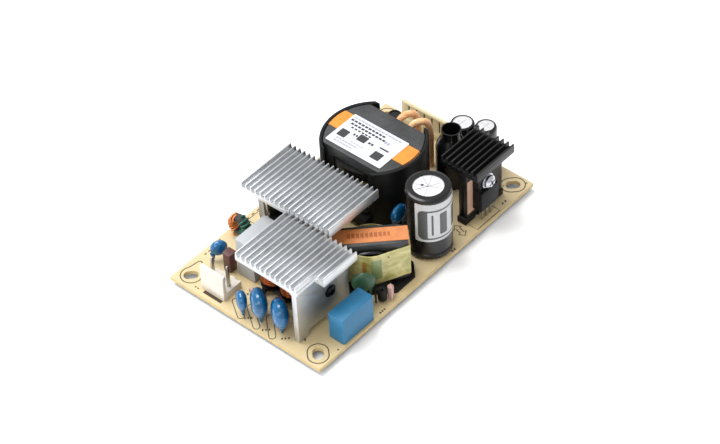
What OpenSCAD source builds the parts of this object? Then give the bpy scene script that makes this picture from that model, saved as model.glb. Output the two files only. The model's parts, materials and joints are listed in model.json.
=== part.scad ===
// Open frame power supply on a 5 x 3 inch board.
// X runs from the mains end to the output end, Y across the board, Z up from the
// trimmed lead tips that the board stands on. The origin is under the board's centre.

/* [Board] */
// Length of the board along X
board_length = 127; // [125:0.1:129]
// Width of the board along Y
board_width = 76.2; // [75.5:0.1:78]
// Thickness of the laminate
board_thickness = 1.6; // [1.2:0.1:2]
// How far the trimmed leads stand out below the board
lead_tail = 2; // [1.6:0.1:3]
// Distance between mounting slots along X
slot_spacing_x = 115.57; // [115:0.01:116]
// Distance between mounting slots along Y
slot_spacing_y = 64.77; // [64:0.01:65]
// Width of a mounting slot
slot_width = 4.3; // [3.5:0.1:4.5]
// Overall length of a mounting slot
slot_length = 5.9; // [4.8:0.1:6.2]

/* [Heatsinks] */
// Distance from one fin to the next
fin_pitch = 2.45; // [2.2:0.05:2.6]
// Thickness of a fin at its root
fin_root = 1.0; // [0.8:0.05:1.2]
// Thickness of a fin at its tip
fin_tip = 0.7; // [0.5:0.05:0.9]
// Height of the fins above their plate
fin_height = 2.2; // [1.5:0.1:3]
// Thickness of the finned plate
fin_plate = 1.9; // [1.5:0.1:2.5]
// Height of the fin tips above the board
heatsink_height = 29; // [28.5:0.1:30]
// Lean of the middle heatsink, in degrees
middle_lean = 2.2; // [0:0.1:2.4]

/* [Main transformer] */
// Radius of the round ferrite core
core_radius = 19.6; // [18:0.1:20]
// Half width of the core between its two cut sides
core_half_width = 13.9; // [13:0.1:14.5]
// Height of the core's top above the board
core_top = 29.4; // [28.5:0.1:30]

/* [Bulk capacitor] */
// Radius over the sleeve
bulk_radius = 9.05; // [8:0.05:9.2]
// Height above the board
bulk_height = 31.5; // [25:0.5:35]

/* [Boost inductor] */
// Height of the core's top above the board
inductor_height = 20.4; // [18:0.1:21]
// Half length of the core, from leg end to leg end
inductor_reach = 14.2; // [13.5:0.1:14.5]
// Half width of the core across its middle
inductor_half_width = 5.2; // [5:0.1:5.6]

/* [Hidden] */
$fn = 48;

top = lead_tail + board_thickness;      // height of the board's upper face
eps = 0.01;

// Mounting slots, one near each corner
slot_places = [for (sx = [-1, 1], sy = [-1, 1]) [sx, sy]];

// Heatsink runs: [first x, last x] and the y of the frontmost fin
input_sink_x = [-58.3, -29.9];
input_sink_front = -28.3;
input_sink_fins = 15;
input_web_front = -23.7;
input_web = 2.3;
output_sink_x = [29.3, 51.8];
output_sink_front = -37.2;
output_sink_fins = 8;
output_web_front = -32.2;
output_web = 3.8;
output_web_right = 51;
output_foot_height = 2.9;
primary_sink_x = [-29.2, -0.9];
primary_sink_front = -13.9;
primary_sink_fins = 19;
primary_web_back = 22.5;
primary_web = 2.8;

// Main transformer
transformer_at = [20.8, 6.6];
core_gap = 0.6;                          // rise of the core above the board
core_plate = 4.6;
core_wall = 3.2;
post_radius = 7.2;
cup_outer = 21.2;
cup_wall = 1.4;
cup_half_width = 16.5;
winding_radius = 15.1;
upper_flange = 4.2;                      // depth of the bobbin's upper flange
band_width = 9.9;
tape = 0.16;

// Boost inductor, turned 45 degrees on the board
inductor_at = [-14.1, -20.9];
inductor_turn = -45;
inductor_tip = 3.8;                      // half width of the core at its leg ends
inductor_shoulder = 10.6;                // where the legs begin to narrow
inductor_post = 4.8;
belt_z = [3.2, 17.8];                    // belt's lower and upper edge above the board
belt_radius = 8.65;
belt_thick = 0.35;

// Round parts
bulk_at = [11.7, -28.2];
drum_at = [45.0, -11.9];
drum_radius = 6.3;
drum_top = 19.6;
collar_radius = 4;
collar_top = 27.2;
output_caps = [[56.0, -8.5, 4.95, 21.2], [58.9, -17.9, 4.4, 22.7]];   // x, y, radius, height

// Pin headers, 3.96 mm pitch
header_pitch = 3.96;
header_depth = 9.8;
header_base = 3.2;
header_wall = 1.5;
header_wall_height = 12;
pin_side = 1.14;
input_pin_height = 13.6;
output_pin_height = 9.8;
input_header_at = [-60.1, 12.9];
input_header_ways = 3;
output_header_at = [58.55, -2.2];
output_header_ways = 7;

// Input parts
fuse_at = [-47.7, 20.9];
fuse_size = [3.9, 3.8, 9.2];
suppression_at = [-45.8, 10.3];
suppression_size = [16.6, 8.7, 18.4];
film_at = [-48.8, -37.3];
film_size = [17.2, 7.4, 12.6];
line_choke_x = -42.6;
line_choke_legs = [3.6, -6.4];           // y of the two coils
line_coil_radius = 4.8;
line_turns = 12;
line_wire = 1.3;
ring_at = [-29.6, 32.8];
ring_height = 5.4;
surge_discs = [                          // x, y, centre height, radius, thickness
    [-59.6, 3.9, 6.2, 3.9, 4.2],
    [-57.6, -3.2, 7.9, 5.9, 6.4],
    [-56.7, -13.0, 8.1, 6.1, 6.6]];
surge_turn = 52;
safety_at = [-44.6, 29.6];
inner_disc = [8.0, -16.1, 12.4, 4.1, 3.4];
thermistor_at = [-26.7, -28.2];
electrolytic_at = [49.0, 20.6];

// Devices on the heatsinks
bridge_at = [-40.2, input_web_front + input_web];
bridge_size = [22, 3.5, 18.5];
package_width = 10.2;
transistor_x = [-22, -8.5];
transistor_y = primary_web_back - primary_web;
rectifier_x = 37.8;
rectifier_base = 6.4;                    // height of the plastic body above the board

// Lead places of each part, [x, y]
function row_of(at, pitch, count) = [for (i = [0:count - 1]) [at[0], at[1] + i * pitch]];
function pair_of(at, half, turn) =
    [for (s = [-1, 1]) [at[0] + s * half * cos(turn), at[1] + s * half * sin(turn)]];
function turned(at, turn, p) =
    [at[0] + p[0] * cos(turn) - p[1] * sin(turn), at[1] + p[0] * sin(turn) + p[1] * cos(turn)];
input_pin_places = [for (i = [0, 2]) [input_header_at[0] + 5.1,
    input_header_at[1] + header_pitch * (i + 0.5)]];
output_pin_places = row_of([output_header_at[0] + 3.1, output_header_at[1] + header_pitch / 2],
    header_pitch, output_header_ways);
bulk_leads = pair_of(bulk_at, 3.75, 20);
output_cap_leads = [for (c = output_caps) each pair_of([c[0], c[1]], c[2] / 2, 90)];
fuse_leads = [for (d = [0.9, 3]) [fuse_at[0] + d, fuse_at[1] + fuse_size[1] / 2]];
suppression_leads = [for (d = [0.8, 15.8]) [suppression_at[0] + d,
    suppression_at[1] + suppression_size[1] / 2]];
film_leads = [for (d = [1.1, 16.1]) [film_at[0] + d, film_at[1] + film_size[1] / 2]];
surge_leads = [for (d = surge_discs) each pair_of([d[0], d[1]], d[3] * 0.42, surge_turn)];
safety_leads = pair_of(safety_at, 2.5, 150);
inner_leads = pair_of([inner_disc[0], inner_disc[1]], 2.5, 0);
thermistor_leads = pair_of(thermistor_at, 2.5, -43);
transformer_pins = [for (sx = [-1, 1], i = [0:5]) [transformer_at[0] + sx * 17.5,
    transformer_at[1] - 9.5 + 3.8 * i]];
inductor_pins = [for (st = [-1, 1], i = [-1:1]) turned(inductor_at, inductor_turn,
    [5 * i, st * 9])];
bridge_leads = [for (i = [-1.5:1.5]) [bridge_at[0] + 5.08 * i, bridge_at[1] + 1.75]];
rectifier_leads = [for (i = [-1:1]) [rectifier_x + 2.54 * i, output_web_front - 2.9]];
transistor_leads = [for (x = transistor_x, i = [-1:1]) [x + 2.54 * i, transistor_y - 2.7]];
line_choke_pins = [for (y = line_choke_legs, sx = [-1, 1]) [line_choke_x + 5 * sx, y]];
ring_leads = [for (sy = [-1, 1], sx = [-1, 1]) [ring_at[0] + 1.9 * sx, ring_at[1] + 1.9 * sy]];
drum_leads = pair_of(drum_at, 2.5, 0);
electrolytic_leads = pair_of(electrolytic_at, 1.25, 60);
resistor_spots = [[-50.4, 4.4, 86], [-50.2, -6.6, 86], [-12.5, 31, 0], [-12.5, 34, 0]];
resistor_leads = [for (r = resistor_spots) each pair_of([r[0], r[1]], 4.6, r[2])];
diode_spot = [-22.2, -33.3];
standing_resistor_spot = [-18.9, -34.6];
diode_leads = [diode_spot, diode_spot + [-2.4, 1.2]];
standing_resistor_leads = [standing_resistor_spot, standing_resistor_spot + [-1.2, -1.6]];
sleeved_starts = [[38.35, 9.6], [38.35, 3.6]];
sleeved_ends = [[47.4, 7.2], [46.6, 0.2]];
sink_pins = [[-55, -22.3], [-33, -22.3], [33, -30.3], [48, -30.3], [-25.5, 21.1], [-4, 21.1]];
standing_places = concat(input_pin_places, output_pin_places, film_leads, rectifier_leads);
lead_places = concat(bulk_leads, output_cap_leads, fuse_leads, suppression_leads,
    surge_leads, safety_leads, inner_leads, thermistor_leads, transformer_pins,
    inductor_pins, bridge_leads, transistor_leads, line_choke_pins, ring_leads,
    drum_leads, electrolytic_leads, resistor_leads, diode_leads,
    standing_resistor_leads, sleeved_ends, sink_pins);

// ---- shared shapes ----

// Block from its lowest corner
module block(at, size) translate(at) cube(size);

// Rectangle with round corners, centred
module round_rect(w, d, r) {
    square([w - 2 * r, d], center = true);
    square([w, d - 2 * r], center = true);
    for (sx = [-1, 1], sy = [-1, 1])
        translate([sx * (w / 2 - r), sy * (d / 2 - r)]) circle(r, $fn = 24);
}

// Block with round upright edges, from its lowest corner
module soft_block(at, size, r) translate([at[0] + size[0] / 2, at[1] + size[1] / 2, at[2]])
    linear_extrude(size[2]) round_rect(size[0], size[1], r);

// Straight round lead between two heights
module lead(p, z0, z1, d = 0.7) translate([p[0], p[1], z0]) cylinder(h = z1 - z0, d = d, $fn = 16);

// Round lead between any two points
module rod(a, b, d, sides = 16) {
    v = b - a;
    translate(a) rotate([0, acos(v[2] / norm(v)), atan2(v[1], v[0])])
        cylinder(h = norm(v), d = d, $fn = sides);
}

// Moulded power package standing on Z, the back of its tab on the XZ plane, body towards -Y
package_body_depth = [1.3, 4.5];

module package_body(x, y, z) translate([x - package_width / 2, y, z]) rotate([90, 0, 90])
    linear_extrude(package_width) polygon([[-package_body_depth[0], 0],
        [-package_body_depth[0], 9.2], [-4.2, 9.2], [-package_body_depth[1], 8.8],
        [-package_body_depth[1], 0.3], [-4.3, 0]]);

module package_tab(x, y, z, foot) {
    // metal tab behind and above the body, with the screw hole
    difference() {
        block([x - package_width / 2, y - 1.3, z + 0.4], [package_width, 1.3, 15.3]);
        translate([x, y + 1, z + 12.8]) rotate([90, 0, 0]) cylinder(h = 4, d = 3.6);
        for (s = [-1, 1])
            block([x + s * package_width / 2 - 0.7, y - 2, z + 9.4], [1.4, 3, 2.2]);
    }
    // three legs, wide at the body and narrow below
    for (i = [-1:1]) {
        block([x + 2.54 * i - 0.65, y - 3.1, z - 2.6], [1.3, 0.5, 2.6]);
        block([x + 2.54 * i - 0.4, y - 3.1, foot], [0.8, 0.5, z - 2.6 - foot + eps]);
    }
}

// Pan head screw along -Y with its washer; the washer sits at y and the shank goes back by reach
module pan_screw(x, y, z, reach, washer = 0.8, head = 5.4, rise = 2.1) {
    translate([x, y, z]) rotate([90, 0, 0]) {
        difference() {
            union() {
                cylinder(h = washer, d = head + 1);
                translate([0, 0, washer]) cylinder(h = rise * 0.55, d = head);
                translate([0, 0, washer + rise * 0.55])
                    cylinder(h = rise * 0.45, d1 = head, d2 = head * 0.65);
            }
            for (a = [0, 90]) rotate(a + 20)
                translate([-head * 0.3, -0.35, washer + rise * 0.5]) cube([head * 0.6, 0.7, 2]);
        }
        translate([0, 0, -reach]) cylinder(h = reach + eps, d = 2.9);
    }
}

// Cross-section of a finned plate: fins at fin_pitch up from the plate, y = 0 at the first fin
module fin_profile(count) {
    span = fin_pitch * (count - 1);
    translate([-fin_root / 2, -fin_plate]) square([span + fin_root, fin_plate + eps]);
    for (i = [0:count - 1]) translate([i * fin_pitch, 0])
        polygon([[-fin_root / 2, 0], [fin_root / 2, 0], [fin_tip / 2, fin_height - 0.25],
            [fin_tip / 2 - 0.2, fin_height], [0.2 - fin_tip / 2, fin_height],
            [-fin_tip / 2, fin_height - 0.25]]);
}

// Extrude a YZ cross-section along X
module along_x(range) translate([range[0], 0, 0]) rotate([90, 0, 90])
    linear_extrude(range[1] - range[0]) children();

// Sleeved can: round bottom edge, a crimp groove and a rim that turns in over the top
module can_profile(r, h, rim) {
    polygon([[0, 0.5], [r - 0.6, 0.5], [r, 1.1], [r, 2.6], [r - 0.55, 3.1], [r - 0.55, 3.5],
        [r, 4.0], [r, h - 1.1], [r - 0.35, h - 0.35], [r - 1.1, h], [r - rim, h],
        [r - rim, h - 0.35], [0, h - 0.35]]);
}

// Body of a dipped disc, round about its own Y: thick in the middle, thinner at the rim
module disc_body(r, t) rotate([90, 0, 0]) rotate_extrude($fn = 48)
    polygon([for (a = [-90:15:90]) [r * pow(cos(a), 0.72), t / 2 * sin(a)]]);

// Dipped disc on two leads; the coating runs down to them in a taper
// Numbers in d: x, y, height of the centre, radius, thickness
module dipped_disc(d, turn, leads) {
    translate([d[0], d[1], top + d[2]]) rotate(turn) disc_body(d[3], d[4]);
    for (p = leads) {
        translate([p[0], p[1], top + d[2] - d[3] - 1.4])
            cylinder(h = d[3] * 0.75, d1 = 1, d2 = min(d[4] * 0.62, 3.2), $fn = 24);
        lead(p, top, top + d[2] - d[3] * 0.6);
    }
}

// ---- board ----

module board() color("wheat") difference() {
    block([-board_length / 2, -board_width / 2, lead_tail],
        [board_length, board_width, board_thickness]);
    for (p = slot_places)
        translate([p[0] * slot_spacing_x / 2, p[1] * slot_spacing_y / 2, lead_tail - 1])
            rotate(45 * p[0] * p[1]) linear_extrude(board_thickness + 2) {
                for (s = [-1, 1]) translate([s * (slot_length - slot_width) / 2, 0])
                    circle(d = slot_width);
                square([slot_length - slot_width, slot_width], center = true);
            }
}

// Lead end in its cone of solder, cut off at height z
module solder_joint(p, z) translate([p[0], p[1], 0]) rotate_extrude($fn = 16)
    polygon([[0, z], [0.32, z], [0.42, z + 0.12], [0.42, 0.9], [0.6, 1.35], [1.15, lead_tail],
        [0, lead_tail]]);

module solder_joints() color("silver") for (p = lead_places) solder_joint(p, 0.35);

// The longest leads, which the board stands on
module standing_joints() color("silver") for (p = standing_places) solder_joint(p, 0);

// Controllers and a few small parts on the underside
module controller_chips() color("dimgray") {
    for (c = [[-14, -3, 10, 3.9], [25, -29.5, 5, 3.9], [-33, -8, 5, 3.9]]) {
        block([c[0], c[1], lead_tail - 1.5], [c[2], c[3], 1.4]);
        for (i = [0:c[2] / 1.27 - 0.6], s = [-1, 1])
            block([c[0] + 0.45 + 1.27 * i, c[1] + c[3] / 2 + s * 2.6 - 0.65, lead_tail - 0.3],
                [0.4, 1.3, 0.3]);
    }
}

// ---- heatsinks ----

// Lower lead notch and tabs make the web stand on the board
module input_heatsink() color("lightgray") {
    tip = top + heatsink_height;
    difference() {
        union() {
            along_x(input_sink_x) translate([input_sink_front, tip - fin_height])
                fin_profile(input_sink_fins);
            block([input_sink_x[0], input_web_front, top],
                [input_sink_x[1] - input_sink_x[0], input_web, tip - fin_height - top - 1]);
            // fillet under the plate, behind the web
            along_x(input_sink_x) translate([input_web_front + input_web - eps,
                tip - fin_height - fin_plate]) polygon([[0, eps], [1.2, eps], [0, -1.2]]);
        }
        // front corner cut back over the mounting slot
        block([input_sink_x[0] - 1, input_sink_front - 2, tip - 8],
            [10.9, input_web_front - input_sink_front + 1.4, 9]);
        // notch under the web
        block([-53, input_web_front - 1, top - 1], [10, input_web + 2, 3.8]);
        translate([bridge_at[0], input_web_front - 1, top + 13.5]) rotate([-90, 0, 0])
            cylinder(h = input_web + 2, d = 3.2);
    }
}

module primary_heatsink() color("lightgray") {
    tip = top + heatsink_height + 0.1;
    web_y = primary_web_back - primary_web;
    leaning() difference() {
        union() {
            along_x(primary_sink_x) translate([primary_sink_front - 1.1, tip - fin_height])
                fin_profile(primary_sink_fins);
            block([primary_sink_x[0] + 1.5, web_y, top + 0.2],
                [primary_sink_x[1] - primary_sink_x[0] - 1.5, primary_web,
                tip - fin_height - top - 1.2]);
        }
        for (x = transistor_x) translate([x, web_y - 1, top + 19.4]) rotate([-90, 0, 0])
            cylinder(h = primary_web + 2, d = 3.2);
    }
    // tabs down to the board
    for (x = [sink_pins[4][0], sink_pins[5][0]])
        block([x - 1.5, web_y + 0.7, top], [3, 1.4, 1.5]);
}

// The middle heatsink and what is screwed to it lean together about the foot of the web
module leaning() translate([0, primary_web_back, top]) rotate([-middle_lean, 0, 0])
    translate([0, -primary_web_back, -top]) children();

module output_heatsink() color("#2a2a2c") {
    tip = top + heatsink_height;
    foot = top + output_foot_height;
    difference() {
        union() {
            along_x(output_sink_x) translate([output_sink_front, tip - fin_height])
                fin_profile(output_sink_fins);
            block([output_sink_x[0], output_web_front, foot],
                [output_web_right - output_sink_x[0], output_web, tip - fin_height - foot - 1]);
            along_x([output_sink_x[0], output_web_right])
                translate([output_web_front + output_web - eps, tip - fin_height - fin_plate])
                polygon([[0, eps], [1.2, eps], [0, -1.2]]);
        }
        translate([rectifier_x, output_web_front - 1, top + rectifier_base + 12.8])
            rotate([-90, 0, 0]) cylinder(h = output_web + 2, d = 3.2);
        // shallow channel down the web's end
        block([output_sink_x[0] - 1, output_web_front + 1.4, foot - 1], [1.5, 1.2, 18]);
    }
}

module output_heatsink_foot() color("#141414") difference() {
    block([output_sink_x[0] - 1, output_web_front - 0.2, top],
        [output_web_right - output_sink_x[0] + 1.6, output_web + 0.4, output_foot_height]);
    for (x = [35.2, 37.8, 40.4]) block([x - 0.9, output_web_front - 1, top - 1], [1.8, 1.4, 5]);
}

// ---- devices on the heatsinks ----

module bridge_rectifier() color("#1c1c1e") {
    z = top + 3.4;
    difference() {
        block([bridge_at[0] - bridge_size[0] / 2, bridge_at[1], z], bridge_size);
        translate([bridge_at[0], bridge_at[1] - 1, top + 13.5]) rotate([-90, 0, 0])
            cylinder(h = 6, d = 3.4);
        // one corner is cut off to mark the positive end
        translate([bridge_at[0] + bridge_size[0] / 2, bridge_at[1] - 1, z + bridge_size[2]])
            rotate([-90, 45, 0]) translate([-2, -2, 0]) cube([4, 4, 6]);
    }
    for (p = bridge_leads) block([p[0] - 0.5, p[1] - 0.3, top], [1, 0.6, 3.4 + eps]);
}

module bridge_screw() color("#56565a") {
    pan_screw(bridge_at[0], input_web_front, top + 13.5, input_web + bridge_size[1] + 2.2,
        0.2, 4.4, 0.9);
    // nut behind the bridge
    translate([bridge_at[0], bridge_at[1] + bridge_size[1] + 2.1, top + 13.5])
        rotate([90, 0, 0]) difference() {
            cylinder(h = 2.1, d = 6.2, $fn = 6);
            translate([0, 0, -1]) cylinder(h = 4, d = 2.9);
        }
}

module transistor_bodies() color("#1b1b1d") leaning() for (x = transistor_x)
    package_body(x, transistor_y, top + 6.6);

module transistor_tabs() color("silver") leaning() for (x = transistor_x)
    package_tab(x, transistor_y, top + 6.6, top - 0.2);

module transistor_screws() color("silver") leaning() for (x = transistor_x)
    pan_screw(x, transistor_y - 1.3, top + 19.4, primary_web + 1.2);

module insulating_pad() color("#c9a98c") difference() {
    block([output_sink_x[0] + 0.4, output_web_front - 0.25, top + 5], [14.6, 0.25, 16.8]);
    translate([rectifier_x, output_web_front - 1, top + rectifier_base + 12.8])
        rotate([-90, 0, 0]) cylinder(h = 2, d = 3.4);
}

// Fully moulded package: a thick lower body and a thinner back plate that takes the screw
module rectifier_body() color("#1b1b1d") {
    back = output_web_front - 0.25;
    z = top + rectifier_base;
    translate([rectifier_x - package_width / 2, back, z]) rotate([90, 0, 90])
        linear_extrude(package_width) polygon([[0, 0], [-4.3, 0], [-4.5, 0.3], [-4.5, 8.6],
            [-4.2, 9.2], [-2.7, 9.2], [-2.7, 9.6], [0, 9.6]]);
    difference() {
        block([rectifier_x - package_width / 2, back - 2.7, z + 9.4], [package_width, 2.7, 6.4]);
        translate([rectifier_x, back + 1, z + 12.8]) rotate([90, 0, 0]) cylinder(h = 5, d = 3.3);
        for (s = [-1, 1])
            block([rectifier_x + s * package_width / 2 - 0.8, back - 3.2, z + 9.3], [1.6, 2, 2.4]);
    }
}

module rectifier_legs() color("#c8c4ba") for (i = [-1:1]) {
    block([rectifier_x + 2.54 * i - 0.65, output_web_front - 3.15, top + rectifier_base - 2.2],
        [1.3, 0.5, 2.2]);
    block([rectifier_x + 2.54 * i - 0.4, output_web_front - 3.15, top],
        [0.8, 0.5, rectifier_base - 2.2 + eps]);
}

module rectifier_screw() color("silver") {
    pan_screw(rectifier_x, output_web_front - 2.95, top + rectifier_base + 12.8,
        output_web + 2.8);
}

// ---- main transformer ----

// Round core half, cut flat on both sides, with a centre post and open side walls
module core_half(height) intersection() {
    rotate_extrude($fn = 96) union() {
        polygon([[0, 0], [core_radius - 0.2, 0], [core_radius, 0.2], [core_radius, height],
            [core_radius - core_wall, height], [core_radius - core_wall, core_plate],
            [post_radius, core_plate], [post_radius, height], [0, height]]);
    }
    translate([-core_half_width, -25, -1]) cube([2 * core_half_width, 50, height + 2]);
}

half_height = (core_top - core_gap) / 2;

module at_transformer(z) translate([transformer_at[0], transformer_at[1], top + z]) children();

module transformer_core_lower() color("#3a3a3a") at_transformer(core_gap) core_half(half_height);

module transformer_core_upper() color("#4a4a48")
    at_transformer(core_top) mirror([0, 0, 1]) core_half(half_height);

// Black cup wall round the core's two curved ends
module transformer_cup() color("#0e0e0e") at_transformer(0) difference() {
    intersection() {
        rotate_extrude($fn = 96) translate([cup_outer - cup_wall, 0])
            square([cup_wall, core_top + 0.1]);
        translate([-cup_half_width, -25, -1]) cube([2 * cup_half_width, 50, 40]);
    }
    translate([-30, -6, -1]) cube([60, 12, 40]);
}

module transformer_bobbin() color("#151515") at_transformer(0) {
    floor_z = core_gap + core_plate;
    roof_z = core_top - core_plate;
    flange = core_radius - core_wall - 0.2;
    intersection() {
        rotate_extrude($fn = 72) polygon([[post_radius + 0.2, floor_z + 0.1],
            [flange, floor_z + 0.1], [flange, floor_z + 1.2], [post_radius + 1.2, floor_z + 1.2],
            [post_radius + 1.2, roof_z - upper_flange], [flange, roof_z - upper_flange],
            [flange, roof_z - 0.1], [post_radius + 0.2, roof_z - 0.1]]);
        translate([-cup_half_width, -20, -1]) cube([2 * cup_half_width, 40, 40]);
    }
    // pin rails on the two open sides
    for (s = [-1, 1]) {
        translate([s * 16.8 - 2.2, -10.8, 2]) cube([4.4, 21.6, 3.4]);
        translate([s * 15.1 - 1.1, -9, 5.2]) cube([2.2, 18, 1.2]);
    }
    for (p = transformer_pins) translate([p[0] - transformer_at[0], p[1] - transformer_at[1], 0])
        cylinder(h = 2.2, d = 0.8, $fn = 16);
}

module transformer_winding() color("#d9c23c") at_transformer(0)
    rotate_extrude($fn = 72) polygon([[post_radius + 1.25, core_gap + core_plate + 1.25],
        [winding_radius, core_gap + core_plate + 1.25], [winding_radius, core_top - core_plate - upper_flange - 0.05],
        [post_radius + 1.25, core_top - core_plate - upper_flange - 0.05]]);

// Tape band round the core, over the top and down its curved ends
module transformer_band() color("#f0a040") at_transformer(0) intersection() {
    difference() {
        translate([0, 0, core_gap - tape])
            cylinder(h = core_top - core_gap + 2 * tape, r = core_radius + tape, $fn = 96);
        translate([0, 0, core_gap]) cylinder(h = core_top - core_gap, r = core_radius, $fn = 96);
        // rounded over with the core's edge
        translate([0, 0, core_gap - 1]) difference() {
            cylinder(h = 1.2, r = core_radius + 1, $fn = 96);
            translate([0, 0, -1]) cylinder(h = 4, r = core_radius - 0.3, $fn = 96);
        }
        translate([0, 0, core_top - 0.2]) difference() {
            cylinder(h = 1.5, r = core_radius + 1, $fn = 96);
            translate([0, 0, -1]) cylinder(h = 4, r = core_radius - 0.3, $fn = 96);
        }
    }
    translate([-band_width / 2, -25, -1]) cube([band_width, 50, 40]);
}

module transformer_label() color("#f2f2f4") {
    translate([transformer_at[0] - 12.1, transformer_at[1] - 13.2, top + core_top + tape])
        translate([8.85, 13.8, 0]) linear_extrude(0.12) round_rect(17.7, 27.6, 0.4);
}

// Two sleeved winding ends that come up beside the core, bend over and go down to the board
module transformer_leads() color("#f3c08a") for (i = [0, 1]) {
    a = sleeved_starts[i];
    b = sleeved_ends[i];
    path = [[a[0], a[1], top + 9], [a[0], a[1], top + 21.5], [a[0] + 1.4, a[1], top + 24.4],
        [b[0] - 3.6, b[1] + 1.3, top + 24.9], [b[0] - 1, b[1] + 0.6, top + 22.6],
        [b[0], b[1], top + 17], [b[0], b[1], top]];
    for (k = [0:len(path) - 2]) rod(path[k], path[k + 1], 2.5, 12);
    for (k = [1:len(path) - 2]) translate(path[k]) sphere(d = 2.55, $fn = 12);
}

// ---- boost inductor ----

module at_inductor(z) translate([inductor_at[0], inductor_at[1], top + z])
    rotate(inductor_turn) children();

// Outline of the core seen from above: straight sides that narrow to the leg ends
module inductor_outline() polygon([for (q = [[1, 1], [-1, 1], [-1, -1], [1, -1]])
    each (q[0] * q[1] > 0 ? [[q[0] * inductor_reach, q[1] * inductor_tip],
        [q[0] * inductor_shoulder, q[1] * inductor_half_width]]
    : [[q[0] * inductor_shoulder, q[1] * inductor_half_width],
        [q[0] * inductor_reach, q[1] * inductor_tip]])]);

inductor_base = 1.0;
inductor_plate = 3.9;
inductor_half = (inductor_height - inductor_base) / 2;
inductor_bore = 8.6;

module inductor_core_half() {
    linear_extrude(inductor_plate) inductor_outline();
    difference() {
        linear_extrude(inductor_half) inductor_outline();
        translate([0, 0, -1]) cylinder(h = inductor_half + 2, r = inductor_bore);
    }
    cylinder(h = inductor_half, r = inductor_post);
}

module inductor_core_lower() color("#2c2c2e") at_inductor(inductor_base) inductor_core_half();

module inductor_core_upper() color("#38383a")
    at_inductor(inductor_height) mirror([0, 0, 1]) inductor_core_half();

// Bobbin: tube, two flanges and the flat base that carries the pins
module inductor_bobbin() color("#121212") at_inductor(0) {
    lower = inductor_base + inductor_plate + 0.1;
    upper = inductor_height - inductor_plate - 0.1;
    flange = belt_radius - 0.2;
    rotate_extrude($fn = 64) polygon([[inductor_post + 0.15, lower], [flange, lower],
        [flange, lower + 0.9], [inductor_post + 1, lower + 0.9], [inductor_post + 1, upper - 0.9],
        [flange, upper - 0.9], [flange, upper], [inductor_post + 0.15, upper]]);
    // base plate: a square along the board's edges, cut at the corners under the legs
    linear_extrude(inductor_base - 0.05) intersection() {
        rotate(-inductor_turn) square(28.4, center = true);
        square([32.6, 22.6], center = true);
    }
    for (s = [-1, 1]) {
        translate([-7, s * 8.9 - 2.1, 0.5]) cube([14, 4.2, 2.6]);
        translate([-4, s * 6.4 - 1, 3]) cube([8, 2, 2.4]);
    }
    for (p = inductor_pins) rotate(-inductor_turn)
        translate([p[0] - inductor_at[0], p[1] - inductor_at[1], 0])
        cylinder(h = 1.2, d = 0.8, $fn = 16);
}

module inductor_winding() color("#b5651d") at_inductor(0)
    rotate_extrude($fn = 64) {
        lower = inductor_base + inductor_plate + 1.05;
        upper = inductor_height - inductor_plate - 1.05;
        translate([inductor_post + 1.05, lower]) square([2.4, upper - lower]);
    }

// Wide clear-yellow tape belt drawn round the coil and the leg ends
module inductor_belt() color("#d8d394") at_inductor(belt_z[0])
    linear_extrude(belt_z[1] - belt_z[0]) difference() {
        belt_outline(belt_thick);
        belt_outline(0);
    }

// Round the coil, then straight to the leg ends
module belt_outline(grow) {
    r = belt_radius + grow;
    end = [inductor_reach + 0.3 + grow, inductor_tip + 0.15 + grow * 0.5];
    touch = atan2(end[1], end[0]) + acos(r / norm(end));
    circle(r, $fn = 72);
    polygon([end, r * [cos(touch), sin(touch)], r * [-cos(touch), sin(touch)], [-end[0], end[1]],
        -end, -r * [cos(touch), sin(touch)], r * [cos(touch), -sin(touch)], [end[0], -end[1]]]);
}

// Tape strap over the top of the core and down both leg ends
module inductor_strap() color("#e8925a") at_inductor(0) {
    w = 7.4;
    t = 0.2;
    z0 = inductor_base + 1;
    translate([-inductor_reach - t, -w / 2, inductor_height])
        cube([2 * (inductor_reach + t), w, t]);
    for (s = [-1, 1]) translate([s > 0 ? inductor_reach : -inductor_reach - t, -w / 2, z0])
        cube([t, w, inductor_height - z0 + eps]);
}

// ---- capacitors ----

module bulk_capacitor_can() color("#e4e4e6") translate([bulk_at[0], bulk_at[1], top]) {
    difference() {
        translate([0, 0, 1.2]) cylinder(h = bulk_height - 1.65, r = bulk_radius - 0.8, $fn = 72);
        // vent score lines across the top
        for (a = [25, 115]) rotate(a)
            translate([-5.6, -0.15, bulk_height - 0.65]) cube([11.2, 0.3, 1]);
    }
    for (p = bulk_leads) lead([p[0] - bulk_at[0], p[1] - bulk_at[1]], 0, 1.25, 1.2);
}

module bulk_capacitor_sleeve() color("#17171a") translate([bulk_at[0], bulk_at[1], top])
    difference() {
        rotate_extrude($fn = 96) can_profile(bulk_radius, bulk_height, 3);
        translate([0, 0, -1]) cylinder(h = 5, r = bulk_radius - 2.2, $fn = 72);
        translate([0, 0, 1.2]) cylinder(h = bulk_height - 1.65, r = bulk_radius - 0.8, $fn = 72);
        translate([0, 0, bulk_height - 1]) cylinder(h = 2, r = bulk_radius - 3, $fn = 72);
    }

module output_capacitor_cans() color("#e8e8ea") for (c = output_caps)
    translate([c[0], c[1], top]) {
        difference() {
            translate([0, 0, 1]) cylinder(h = c[3] - 1.3, r = c[2] - 0.6);
            for (a = [0, 90]) rotate(a) translate([-2.2, -0.12, c[3] - 0.5]) cube([4.4, 0.24, 1]);
        }
        for (s = [-1, 1]) lead([0, s * c[2] / 2], 0, 1.05, 0.6);
    }

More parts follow.
